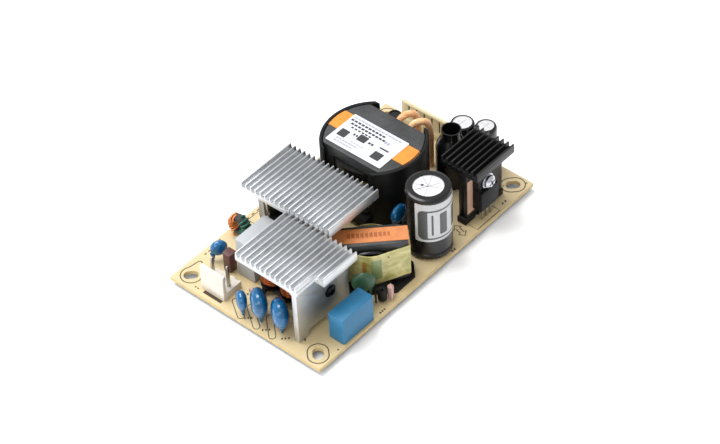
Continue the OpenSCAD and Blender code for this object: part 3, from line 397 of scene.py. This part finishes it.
def wrapped(centre, radius):
    # maps an arc length u from azimuth 0, a height w and a rise in mm onto an upright cylinder
    def place(u, w, rise):
        angle = u / radius
        reach = radius + rise
        return Vector((centre[0] + reach * math.cos(angle), centre[1] + reach * math.sin(angle), w)) * mm
    return place


def skin(work, rings, closed=False):
    # faces between rings of corners, and caps on the ends of an open run
    count = len(rings[0])
    for near, far in zip(rings, rings[1:] + rings[:1] if closed else rings[1:]):
        for k in range(count):
            work.faces.new((near[k], near[(k + 1) % count], far[(k + 1) % count], far[k]))
    if not closed:
        work.faces.new(rings[0])
        work.faces.new(rings[-1][::-1])


def roundedPatch(work, u, w, corner, place, rise, thick, columns=24):
    # a thin closed plate with rounded corners, from u[0] to u[1] and w[0] to w[1]
    low, high = u
    nearest, thinnest = 0.002, 0.01  # mm between columns, and half a column's least height
    ease = [corner * (1 - math.cos(a * math.pi / 12)) for a in range(7)]
    stops = sorted(set([low + e for e in ease] + [high - e for e in ease]
                       + [low + (high - low) * k / columns for k in range(columns + 1)]))
    stops = [a for k, a in enumerate(stops) if k == 0 or a - stops[k - 1] > nearest]
    rings = []
    for stop in stops:
        inset = max(corner - (stop - low), corner - (high - stop), 0.0)
        drop = corner - math.sqrt(max(corner * corner - inset * inset, 0.0))
        drop = min(drop, (w[1] - w[0]) / 2 - thinnest)
        rings.append([work.verts.new(place(stop, level, lift)) for level, lift in (
            (w[0] + drop, rise), (w[1] - drop, rise),
            (w[1] - drop, rise + thick), (w[0] + drop, rise + thick))])
    skin(work, rings)


def ribbon(work, points, width, place, rise, thick, closed=True):
    # a thin closed line of even width along points
    count = len(points)
    rings = []
    for k in range(count):
        before = Vector(points[(k - 1) % count] if closed or k else points[0])
        after = Vector(points[(k + 1) % count] if closed or k < count - 1 else points[-1])
        along = (after - before).normalized()
        across = Vector((-along.y, along.x)) * width / 2
        here = Vector(points[k])
        rings.append([work.verts.new(place(*(here + across * side), lift)) for side, lift in (
            (1, rise), (-1, rise), (-1, rise + thick), (1, rise + thick))])
    skin(work, rings, closed)


def addPiece(name, mesh, finish, replaced=()):
    # a new piece at the origin
    piece = bpy.data.objects.new(name, mesh)
    bpy.context.scene.collection.objects.link(piece)
    handOver(piece, finish, replaced)


def meshFrom(work, name, smooth=None):
    # closes the work on a mesh; edges sharper than smooth, in degrees, stay sharp
    bmesh.ops.recalc_face_normals(work, faces=work.faces)
    mesh = bpy.data.meshes.new(name)
    work.to_mesh(mesh)
    work.free()
    if smooth:
        mesh.shade_smooth()
        mesh.set_sharp_from_angle(angle=math.radians(smooth))
    return mesh


def drawn(name, finish, draw, smooth=None):
    # a piece that draw makes on an empty mesh
    work = bmesh.new()
    draw(work)
    addPiece(name, meshFrom(work, name, smooth), finish)


def arc(centre, radius, first, last, steps=16):
    # points along part of a circle, from first to last in degrees
    turns = [math.radians(first + (last - first) * k / steps) for k in range(steps + 1)]
    return [(centre[0] + radius * math.cos(a), centre[1] + radius * math.sin(a)) for a in turns]


def stadium(start, end, radius):
    # outline round two points
    turn = math.degrees(math.atan2(end[1] - start[1], end[0] - start[0]))
    return arc(end, radius, turn - 90, turn + 90) + arc(start, radius, turn + 90, turn + 270)


def patchesRound(centre, radius, patches):
    # patches on a cylinder, each with its degrees, heights, corner, rise, thickness and columns
    place = wrapped(centre, radius)

    def draw(work):
        for degrees, heights, corner, rise, thick, columns in patches:
            ends = [math.radians(a) * radius for a in degrees]
            roundedPatch(work, ends, heights, corner, place, rise, thick, columns)
    return draw


def nodeBox(name):
    # a CAD node's lowest and highest corner in mm
    corners = [nodes[name].matrix_world @ Vector(c) for c in nodes[name].bound_box]
    return [[pick(c[k] for c in corners) / mm for k in range(3)] for pick in (min, max)]


# Geometry Nodes trees: rows of blocks, coils, and wires along a path

def startTree(name, sockets):
    # a tree with named inputs and one geometry output
    tree = bpy.data.node_groups.new(name, "GeometryNodeTree")
    for label, kind in sockets.items():
        tree.interface.new_socket(label, in_out="INPUT", socket_type="NodeSocket" + kind)
    tree.interface.new_socket("Geometry", in_out="OUTPUT", socket_type="NodeSocketGeometry")
    return tree, tree.nodes.new("NodeGroupInput").outputs


def endTree(tree, geometry, finish):
    # real geometry with its material, as every tree gives
    solid = add(tree, "GeometryNodeRealizeInstances", {"Geometry": geometry})
    dressed = add(tree, "GeometryNodeSetMaterial", {"Geometry": solid.outputs["Geometry"],
                  "Material": finish})
    add(tree, "NodeGroupOutput", {"Geometry": dressed.outputs["Geometry"]})
    return tree


def makeRowTree():
    # Count blocks of Size, the first at Start and each next one a Step on, turned by Turn
    tree, given = startTree("rowOfBlocks", {"Count": "Int", "Start": "Vector", "Step": "Vector",
                                            "Size": "Vector", "Turn": "Float", "Material": "Material"})
    line = add(tree, "GeometryNodeMeshLine", {"Count": given["Count"], "Start Location": given["Start"],
               "Offset": given["Step"]}, mode="OFFSET")
    block = add(tree, "GeometryNodeMeshCube", {"Size": given["Size"]})
    turn = add(tree, "ShaderNodeCombineXYZ", {"Z": given["Turn"]})
    copies = add(tree, "GeometryNodeInstanceOnPoints", {"Points": line.outputs["Mesh"],
                 "Instance": block.outputs["Mesh"], "Rotation": turn.outputs["Vector"]})
    return endTree(tree, copies.outputs["Instances"], given["Material"])


def makeCoilTree():
    # one layer of round wire of radius Wire: Turns of it at Radius, Rise high, from Place upwards
    tree, given = startTree("wireCoil", {"Turns": "Float", "Radius": "Float", "Rise": "Float",
                                         "Wire": "Float", "Place": "Vector", "Material": "Material"})
    path = add(tree, "GeometryNodeCurveSpiral", {"Resolution": 36, "Rotations": given["Turns"],
               "Start Radius": given["Radius"], "End Radius": given["Radius"], "Height": given["Rise"]})
    section = add(tree, "GeometryNodeCurvePrimitiveCircle", {"Resolution": 10, "Radius": given["Wire"]})
    wire = add(tree, "GeometryNodeCurveToMesh", {"Curve": path.outputs["Curve"],
               "Profile Curve": section.outputs["Curve"], "Fill Caps": True})
    moved = add(tree, "GeometryNodeTransform", {"Geometry": wire.outputs["Mesh"],
                "Translation": given["Place"]})
    return endTree(tree, moved.outputs["Geometry"], given["Material"])


def makeWireTree():
    # round wire of radius Wire along the edges it is given
    tree, given = startTree("wireAlongPath", {"Geometry": "Geometry", "Wire": "Float", "Sides": "Int",
                                              "Material": "Material"})
    path = add(tree, "GeometryNodeMeshToCurve", {"Mesh": given["Geometry"]})
    section = add(tree, "GeometryNodeCurvePrimitiveCircle", {"Resolution": given["Sides"],
                  "Radius": given["Wire"]})
    wire = add(tree, "GeometryNodeCurveToMesh", {"Curve": path.outputs["Curve"],
               "Profile Curve": section.outputs["Curve"], "Fill Caps": True})
    return endTree(tree, wire.outputs["Mesh"], given["Material"])


rowTree, coilTree, wireTree = makeRowTree(), makeCoilTree(), makeWireTree()


def treeResult(name, source, tree, values):
    # the plain mesh that a tree makes from a source mesh and its input values
    holder = bpy.data.objects.new(name, source)
    bpy.context.scene.collection.objects.link(holder)
    modifier = holder.modifiers.new("tree", "NODES")
    modifier.node_group = tree
    for item in tree.interface.items_tree:
        if item.in_out == "INPUT" and item.name in values:
            modifier[item.identifier] = values[item.name]
    result = bpy.data.meshes.new_from_object(holder.evaluated_get(bpy.context.evaluated_depsgraph_get()))
    bpy.data.objects.remove(holder)
    return result


def grown(name, tree, settings, finish, replaced=(), smooth=None):
    # one piece from several settings of a tree
    joined = bmesh.new()
    for values in settings:
        part = treeResult(name, bpy.data.meshes.new(name), tree, {**values, "Material": finish})
        joined.from_mesh(part)
        bpy.data.meshes.remove(part)
    addPiece(name, meshFrom(joined, name, smooth), finish, replaced)


def row(start, step, size, count, turn=0.0):
    # settings of one row of blocks, from mm and degrees
    return {"Count": count, "Start": [c * mm for c in start], "Step": [c * mm for c in step],
            "Size": [c * mm for c in size], "Turn": math.radians(turn)}


# print on the board, in mm

boardPlan = {
    "top": 3.6, "ink": 0.03, "rise": 0.002, "line": 0.42, "thin": 0.336,
    "slot": (57.785, 32.385), "ringRadius": 4.0, "ringRun": 0.9,  # rings round three corner slots
    "tailedRing": ((-57.6, 32.3), 4.3, 56, 318, 24), "tail": ((-50.9, 34.3), 0.9, -62, 72, 8),
    "stadiums": (  # round the surge discs and beside the film capacitor
        ((-57.1, 9.8), (-61.7, 2.8), 1.3), ((-56, 3.2), (-62.0, -5.4), 1.3),
        ((-55.4, -6), (-62, -13.4), 1.3), ((-33.5, -34.3), (-31.5, -33.4), 1.5)),
    "brackets": (
        ((29.6, -33.0), (29.6, -37.3), (43.4, -37.3), (43.4, -33.0)),
        ((-10.0, 29.3), (-10.0, 35.9), (-22.0, 35.9), (-22.0, 29.3)),
        ((44.5, 16.4), (53.0, 16.4), (53.0, 25.0), (44.5, 25.0))),
    "bar": ((-61.7, -60.25), (13.3, 22.6), 0.1),  # across, along and corner
    "dots": ((-52.0, -37.2), (61.6, -36.3), (-37.2, 36.6), (20.5, 36.4)), "dotSize": 0.7, "dotCorner": 0.3,
    "arrow": (25.0, -32.3), "arrowLean": 14,  # a plain outline with a head at each end
    "arrowHalf": ((0, 3.4), (1.9, 1.4), (0.8, 1.4), (0.8, -1.4), (1.9, -1.4), (0, -3.4)),
    "dashes": (  # place, step, size, count and turn of each row
        ((-46.0, 35.9), (2.1, 0), (1.1, 0.5), 4, 0), ((-24.5, 36.6), (3.1, 0), (1.5, 0.5), 8, 0),
        ((3.0, 36.3), (2.4, 0), (1.2, 0.6), 5, 0), ((-45.2, -29.3), (1.5, 0), (0.8, 0.9), 4, 0),
        ((14.5, -37.1), (1.3, 0), (0.7, 1.0), 2, 0), ((20.8, -26.8), (1.3, -0.2), (0.8, 1.2), 3, 20),
        ((47.0, -35.8), (1.7, 0), (1.0, 0.7), 2, 30), ((53.6, -30.3), (1.4, 0.5), (0.9, 0.5), 2, 0),
        ((53.0, -25.2), (1.3, 0), (0.8, 0.8), 2, 0), ((-61.2, 25.4), (0, 1.3), (0.5, 0.8), 2, 0),
        ((-61.6, 0.9), (0.9, -0.9), (0.55, 0.9), 3, -45), ((-61.9, -8.4), (0.9, -0.9), (0.55, 0.9), 3, -45),
        ((-60.6, -17.0), (0.9, -0.9), (0.55, 0.9), 3, -45), ((-57.6, -22.4), (1.0, -0.8), (0.6, 1.1), 3, -45),
        ((-56.2, 25.0), (0.9, 0.9), (0.6, 0.8), 4, 45), ((-53.4, 10.4), (0.9, -0.9), (0.6, 1.0), 3, -45),
        ((-27.6, -36.8), (1.2, 0), (0.7, 0.9), 3, 0), ((-44.0, 33.4), (1.2, 0.3), (0.8, 0.5), 3, 0)),
}


def drawArrow(line):
    half, (x, y) = boardPlan["arrowHalf"], boardPlan["arrow"]
    outline = half + tuple((-a, b) for a, b in half[-2:0:-1])
    lean = math.radians(boardPlan["arrowLean"])
    line([(x + a * math.cos(lean) + b * math.sin(lean), y + b * math.cos(lean) - a * math.sin(lean))
          for a, b in outline])


def drawBoardPrint(work):
    place, rise, ink = flat(boardPlan["top"]), boardPlan["rise"], boardPlan["ink"]

    def line(points, width=boardPlan["line"], closed=True):
        ribbon(work, points, width, place, rise, ink, closed)

    x, y = boardPlan["slot"]
    run = boardPlan["ringRun"] * math.sqrt(0.5)  # the slots lie at 45 degrees
    for sx, sy in ((-1, -1), (1, -1), (1, 1)):
        ends = [(sx * (x + run * s), sy * (y + run * s)) for s in (-1, 1)]
        line(stadium(ends[0], ends[1], boardPlan["ringRadius"]))
    line(arc(*boardPlan["tailedRing"]) + arc(*boardPlan["tail"]))
    for start, end, radius in boardPlan["stadiums"]:
        line(stadium(start, end, radius), boardPlan["thin"])
    for corners in boardPlan["brackets"]:
        line(corners, boardPlan["thin"], closed=False)
    roundedPatch(work, *boardPlan["bar"], place, rise, ink)
    size = boardPlan["dotSize"]
    for u, w in boardPlan["dots"]:
        roundedPatch(work, (u, u + size), (w, w + size), boardPlan["dotCorner"], place, rise, ink, columns=4)
    drawArrow(line)


def dashRow(place, step, size, count, turn):
    return row((*place, boardPlan["top"] + boardPlan["ink"] / 2), (*step, 0), (*size, boardPlan["ink"]),
               count, turn)


drawn("boardPrint", inks["silkPrintAndSlotShade"], drawBoardPrint)
grown("boardDashes", rowTree, [dashRow(*dash) for dash in boardPlan["dashes"]], inks["silkPrintAndSlotShade"])
print("board printed")


# print on the transformer's label: grey and dark fields in rows along Y

labelHigh = nodeBox("transformer_label")[1]
labelPlan = {
    "ink": 0.02, "sunk": 0.001,  # mm
    # distance from the rear edge and from the right edge, step, size and count of each row
    "greyRows": (
        (2.0, 1.5, 1.7, (1.45, 0.9), 14), (3.4, 14.4, 1.5, (1.3, 0.8), 7), (3.6, 15.9, 1.5, (1.3, 0.8), 6),
        (9.6, 13.0, 1.3, (1.0, 0.7), 5), (20.2, 5.2, 1.3, (1.0, 1.6), 2)),
    "darkRows": (
        (1.6, 3.1, 1.75, (1.35, 1.0), 10), (3.0, 4.9, 1.75, (1.35, 1.0), 10),
        (4.4, 6.6, 1.75, (1.2, 0.8), 6), (22.2, 8.7, 1.0, (4.4, 0.8), 1),
        (15.4, 9.4, 1.4, (1.1, 1.1), 2), (7.6, 9.2, 1.3, (0.9, 1.1), 2)),
    # distance from the right edge and from the rear edge, width and length of each field
    "fields": ((10.9, 13.8, 3.6, 4.2), (15.2, 24.4, 4.2, 4.4), (13.2, 5.6, 4.2, 4.0)), "corner": 0.4,
}


def labelRow(fromRear, fromRight, step, size, count):
    middle = labelHigh[2] + labelPlan["ink"] / 2 - labelPlan["sunk"]
    return row((labelHigh[0] - fromRight, labelHigh[1] - fromRear, middle), (0, -step, 0),
               (size[1], size[0], labelPlan["ink"]), count)


def drawLabelFields(work):
    place = flat(labelHigh[2] - labelPlan["sunk"])
    for left, front, wide, long in labelPlan["fields"]:
        x, y = labelHigh[0] - left, labelHigh[1] - front
        roundedPatch(work, (x, x + wide), (y, y + long), labelPlan["corner"], place, 0, labelPlan["ink"])


grown("labelGreyRows", rowTree, [labelRow(*line) for line in labelPlan["greyRows"]],
      inks["greyPrint"])
grown("labelDarkRows", rowTree, [labelRow(*line) for line in labelPlan["darkRows"]],
      inks["darkPrint"])
drawn("labelFields", inks["darkPrint"], drawLabelFields)
print("label printed")


# bulk capacitor: silver field with a rounded dark frame and bars, and grey strips of painted shade along the
# scores of its top

canTop = nodeBox("bulk_capacitor_can")[1][2]
bulkPlan = {
    "centre": (11.7, -28.2), "radius": 9.05,
    # from and to in degrees, heights, corner, rise, thickness and columns of each patch
    "silver": (((184.5, 400.0), (14.0, 33.2), 0.6, -0.005, 0.02, 64),
               ((216.5, 390), (15.9, 29.3), 0.5, 0.035, 0.012, 56)),
    "dark": (((192, 394), (15.1, 30.1), 2.4, 0.01, 0.02, 60),
             ((226, 231), (17.2, 28.0), 0.6, 0.045, 0.012, 12),
             ((247, 268), (17.2, 28.0), 0.6, 0.045, 0.012, 12),
             ((286, 307), (17.2, 28.0), 0.6, 0.045, 0.012, 12)),
    # scores on the top: turn in degrees, and where each starts as a share of its reach
    "scores": ((-31, -1), (62, 0), (150, 0)), "reach": 5.2, "width": 0.22, "sunk": -0.004, "thick": 0.014,
    "dot": {"across": (-1.6, -0.4), "along": (1.6, 2.8), "corner": 0.59, "sunk": -0.003, "thick": 0.02},
}


# grey strips laid on the can's top as painted shade in its pressed scores
def drawScoreGrooveShades(work):
    cx, cy = bulkPlan["centre"]
    for turn, start in bulkPlan["scores"]:
        along = Vector((math.cos(math.radians(turn)), math.sin(math.radians(turn)))) * bulkPlan["reach"]
        ends = [(cx + along.x * share, cy + along.y * share) for share in (start, 1)]
        ribbon(work, ends, bulkPlan["width"], flat(canTop), bulkPlan["sunk"], bulkPlan["thick"], closed=False)


def drawDot(work):
    cx, cy = bulkPlan["centre"]
    dot = bulkPlan["dot"]
    roundedPatch(work, [cx + a for a in dot["across"]], [cy + a for a in dot["along"]], dot["corner"],
                 flat(canTop), dot["sunk"], dot["thick"], columns=10)


drawn("bulkSilverPanel", inks["silverPrint"],
      patchesRound(bulkPlan["centre"], bulkPlan["radius"], bulkPlan["silver"]))
drawn("bulkPanelFrame", inks["frameInk"],
      patchesRound(bulkPlan["centre"], bulkPlan["radius"], bulkPlan["dark"]))
drawn("bulkTopScoreShades", inks["score"], drawScoreGrooveShades)
drawn("bulkTopDot", inks["darkPrint"], drawDot)
print("bulk capacitor marked")


# line choke: two windings side by side, in the place of the CAD's coils

coilPlan = {"turns": 12.0, "wire": 0.62}  # the wire's radius in mm
coilLow, coilHigh = nodeBox("line_choke_coils")


def coilSettings():
    wire, reach = coilPlan["wire"], (coilHigh[0] - coilLow[0]) / 2
    for y in (coilLow[1] + reach, coilHigh[1] - reach):
        place = ((coilLow[0] + coilHigh[0]) / 2, y, coilLow[2] + wire)
        yield {"Turns": coilPlan["turns"], "Radius": (reach - wire) * mm, "Wire": wire * mm,
               "Rise": (coilHigh[2] - coilLow[2] - 2 * wire) * mm, "Place": [c * mm for c in place]}


grown("lineChokeWindings", coilTree, coilSettings(), finishes["copper_wire"],
      ["line_choke_coils"], smooth=60)
print("coils wound")


# painted shade: dark blocks stand in the output header's latch slots, which give back little light

slotShadePlan = {"first": (59.5, 1.71, 11.65), "pitch": 3.96, "size": (1.1, 0.66, 5.6), "count": 6}
grown("headerSlotPaintedShade", rowTree,
      [row(slotShadePlan["first"], (0, slotShadePlan["pitch"], 0), slotShadePlan["size"], slotShadePlan["count"])],
      inks["silkPrintAndSlotShade"])


# wires that follow a path

def wired(name, paths, radius, sides, slotName, replaced):
    # one piece from paths of points in mm
    source = bpy.data.meshes.new(name)
    verts, edges = [], []
    for path in paths:
        start = len(verts)
        verts += [tuple(c * mm for c in p) for p in path]
        edges += [(start + k, start + k + 1) for k in range(len(path) - 1)]
    source.from_pydata(verts, edges, [])
    mesh = treeResult(name, source, wireTree,
                      {"Wire": radius * mm, "Sides": sides, "Material": finishes[slotName]})
    mesh.shade_smooth()
    mesh.set_sharp_from_angle(angle=math.radians(60))
    addPiece(name, mesh, finishes[slotName], replaced)


def rounded(points, steps):
    # a smooth path through points, with steps on each stretch
    path = []
    last = len(points) - 1
    for k in range(last):
        a, b, c, d = (Vector(points[max(0, min(last, k + o))]) for o in (-1, 0, 1, 2))
        for i in range(steps):
            t = i / steps
            path.append(0.5 * (2 * b + (c - a) * t + (2 * a - 5 * b + 4 * c - d) * t * t
                               + (3 * b - a - 3 * c + d) * t ** 3))
    return path + [Vector(points[-1])]


ringPlan = {
    "centre": (-29.6, 32.8, 9.0), "turn": 8.0, "radius": 3.32, "reach": (1.05, 2.05), "squareness": 0.7,
    "turns": 6, "steps": 28, "span": 144.0, "wire": 0.42, "sides": 8,  # wire is a radius
    "tails": 1.7, "foot": 3.65,  # tails stand this far either side of the lowest point
}


def ringPoint(phi, psi):
    # phi goes round the ring and psi round its section, a rounded square
    side, depth = ringPlan["reach"]
    c, s = math.cos(psi), math.sin(psi)
    r = ringPlan["radius"] + side * math.copysign(abs(c) ** ringPlan["squareness"], c)
    along = depth * math.copysign(abs(s) ** ringPlan["squareness"], s)
    across, up = r * math.sin(phi), -r * math.cos(phi)
    turn = math.radians(ringPlan["turn"])
    x, y, height = ringPlan["centre"]
    return (x + along * math.cos(turn) - across * math.sin(turn),
            y + along * math.sin(turn) + across * math.cos(turn), height + up)


def ringWinding(middle):
    steps = ringPlan["turns"] * ringPlan["steps"]
    first = math.radians(middle - ringPlan["span"] / 2)
    span = math.radians(ringPlan["span"])
    path = [ringPoint(first + span * k / steps, 2 * math.pi * ringPlan["turns"] * k / steps)
            for k in range(steps + 1)]
    x, y, z = min(path, key=lambda p: p[2])
    tails = [[(x + shift, y, ringPlan["foot"]), (x + shift, y, z)]
             for shift in (-ringPlan["tails"], ringPlan["tails"])]
    return [path] + tails


for name, middle, slotName, replaced in (
        ("ringOrangeWinding", 92, "orange_wire", "ring_choke_orange_wire"),
        ("ringGreenWinding", -92, "green_wire", "ring_choke_green_wire")):
    wired(name, ringWinding(middle), ringPlan["wire"], ringPlan["sides"], slotName, [replaced])


# sleeved leads from the transformer's top down to the board

leadPlan = {
    "starts": ((38.35, 9.6), (38.35, 3.6)), "ends": ((47.4, 7.2), (46.6, 0.2)),
    "radius": 1.42, "sides": 20, "steps": 6,
    # share of the way from start to end, shift along X and Y, and height of each bend
    "bends": ((0, 0, 0, 12.6), (0, 0, 0, 20.0), (0, 0.1, 0, 25.2), (0, 1.8, 0, 27.5), (0.5, 0.4, 0.5, 28.0),
              (1, -1.0, 0.6, 26.4), (1, 0, 0, 20.6), (1, 0, 0, 12.0), (1, 0, 0, 3.62)),
}


def leadPath(start, end):
    return rounded([(start[0] + (end[0] - start[0]) * share + shiftX,
                     start[1] + (end[1] - start[1]) * share + shiftY, height)
                    for share, shiftX, shiftY, height in leadPlan["bends"]], leadPlan["steps"])


leadPaths = [leadPath(start, end) for start, end in zip(leadPlan["starts"], leadPlan["ends"])]
wired("sleevedLeads", leadPaths, leadPlan["radius"], leadPlan["sides"], "lead_sleeve",
      ["transformer_leads"])
print("wires laid")


# boost inductor: tinted window and glint on the belt, film over the coil, marks on the strap

inductorPlan = {
    "centre": (-14.1, -20.9), "beltRadius": 9.0,
    "window": ((222, 252), (9.4, 19.2), 0.5, -0.01, 0.03, 16),
    "glint": ((199, 211), (9.0, 18.6), 0.8, -0.01, 0.03, 12),
}
filmPlan = {
    "path": ((-7.2, 18.6), (-6.0, 20.2), (-4.2, 21.2), (-1.0, 21.5), (2.6, 21.3), (5.0, 20.4), (6.6, 18.8)),
    "across": -6.6, "halfWidth": 0.85, "halfHeight": 0.5, "sides": 10,
}
strapPlan = {
    "rows": ((-8.2, 0.95, 2.3, 10), (-7.6, 0.35, 2.9, 9)),  # first along the core, width, length, count
    "across": 0.1, "pitch": 1.7, "rise": 0.004, "ink": 0.012, "turn": -45,
}
diagonal = math.sqrt(0.5)  # the inductor stands at 45 degrees
strapTop = nodeBox("inductor_strap")[1][2]


def alongCore(u, t):
    # u along the core and t across it, in mm from the inductor's middle
    return (inductorPlan["centre"][0] + (u + t) * diagonal, inductorPlan["centre"][1] + (t - u) * diagonal)


def beltPatch(name, finish, patch):
    draw = patchesRound(inductorPlan["centre"], inductorPlan["beltRadius"], [patch])
    drawn(name, finish, draw, smooth=40)


def drawFilm(work):
    # a soft fold of film that arches over the coil's edge
    rings = []
    for u, z in filmPlan["path"]:
        ring = []
        for k in range(filmPlan["sides"]):
            angle = 2 * math.pi * k / filmPlan["sides"]
            x, y = alongCore(u, filmPlan["across"] + filmPlan["halfWidth"] * math.cos(angle))
            ring.append(work.verts.new(Vector((x, y, z + filmPlan["halfHeight"] * math.sin(angle))) * mm))
        rings.append(ring)
    skin(work, rings)


def strapRow(first, wide, tall, count):
    x, y = alongCore(first, strapPlan["across"])
    step = strapPlan["pitch"] * diagonal
    return row((x, y, strapTop + strapPlan["rise"]), (step, -step, 0), (wide, tall, strapPlan["ink"]), count,
               strapPlan["turn"])


beltPatch("beltWindow", inks["greenPanel"], inductorPlan["window"])
beltPatch("beltCopperGlint", inks["copperGlint"], inductorPlan["glint"])
drawn("coilFilm", finishes["sleeve_black"], drawFilm, smooth=50)
grown("strapMarks", rowTree, [strapRow(*line) for line in strapPlan["rows"]],
      inks["brownMark"])
print("inductor dressed")


# colour bands on the lying resistors

resistorPlan = {
    "spots": ((-50.4, 4.4), (-50.2, -6.6)), "turn": 86.0, "height": 5.2, "sides": 24,
    # offset from the middle, half width and radius of each band
    "violet": ((-2.25, 0.35, 1.21), (0.6, 0.3, 1.01)), "brown": ((-0.9, 0.3, 1.01), (2.3, 0.25, 1.21)),
}


def bands(rows):
    turn = math.radians(resistorPlan["turn"])
    along = Vector((math.cos(turn), math.sin(turn), 0))
    across = Vector((-math.sin(turn), math.cos(turn), 0))
    up = Vector((0, 0, 1))
    angles = [2 * math.pi * k / resistorPlan["sides"] for k in range(resistorPlan["sides"])]

    def draw(work):
        for spot in resistorPlan["spots"]:
            middle = Vector((*spot, resistorPlan["height"]))
            for offset, half, radius in rows:
                skin(work, [[work.verts.new((middle + along * (offset + end) + (
                    across * math.cos(a) + up * math.sin(a)) * radius) * mm) for a in angles]
                    for end in (-half, half)])
    return draw


drawn("violetBands", inks["violetBand"], bands(resistorPlan["violet"]), smooth=40)
drawn("brownBands", inks["brownBand"], bands(resistorPlan["brown"]), smooth=40)
print("resistors banded")


# floor, light and camera

stagePlan = {
    "floorSize": 6.0, "floorColour": "#fcfcfc", "skyColour": "#ffffff", "skyStrength": 0.74,  # metres
    "aim": (0, 0, 0.02),  # where the lamps point
    "lamps": (  # name, place, size, watts
        ("overhead", (-0.1, 0.5, 1.1), 0.8, 17.0),
        ("leftFill", (-1.1, -0.2, 0.7), 0.8, 7.0)),
    "lens": 124.24, "sensor": 36.0,  # mm
    "camera": (-0.50128, -0.46979, 0.67664), "cameraTurn": (45.710, 2.155, -49.150),  # degrees
}

floorMesh = bpy.data.meshes.new("floor")
reach = stagePlan["floorSize"] / 2
floorMesh.from_pydata([(-reach, -reach, 0), (reach, -reach, 0), (reach, reach, 0), (-reach, reach, 0)], [],
                      [(0, 1, 2, 3)])
floorMesh.materials.append(material("palePaperFloor", plasticFinish(
    stagePlan["floorColour"], 0.7, grain=5.0, vary=0.01, bump=0.02)))
floor = bpy.data.objects.new("floor", floorMesh)
bpy.context.scene.collection.objects.link(floor)

world = bpy.data.worlds.new("studio")
world.use_nodes = True
bpy.context.scene.world = world
feed(world.node_tree, world.node_tree.nodes["Background"],
     {"Color": linear(stagePlan["skyColour"]), "Strength": stagePlan["skyStrength"]})

for name, place, size, watts in stagePlan["lamps"]:
    light = bpy.data.lights.new(name, "AREA")
    light.size = size
    light.energy = watts
    lamp = bpy.data.objects.new(name, light)
    lamp.location = place
    towards = Vector(stagePlan["aim"]) - Vector(place)
    lamp.rotation_euler = towards.to_track_quat("-Z", "Y").to_euler()
    bpy.context.scene.collection.objects.link(lamp)

cameraData = bpy.data.cameras.new("camera")
cameraData.lens = stagePlan["lens"]
cameraData.sensor_width = stagePlan["sensor"]
camera = bpy.data.objects.new("camera", cameraData)
camera.location = stagePlan["camera"]
camera.rotation_euler = [math.radians(a) for a in stagePlan["cameraTurn"]]
bpy.context.scene.collection.objects.link(camera)
bpy.context.scene.camera = camera
bpy.context.scene.view_settings.view_transform = "Standard"
print("stage set")
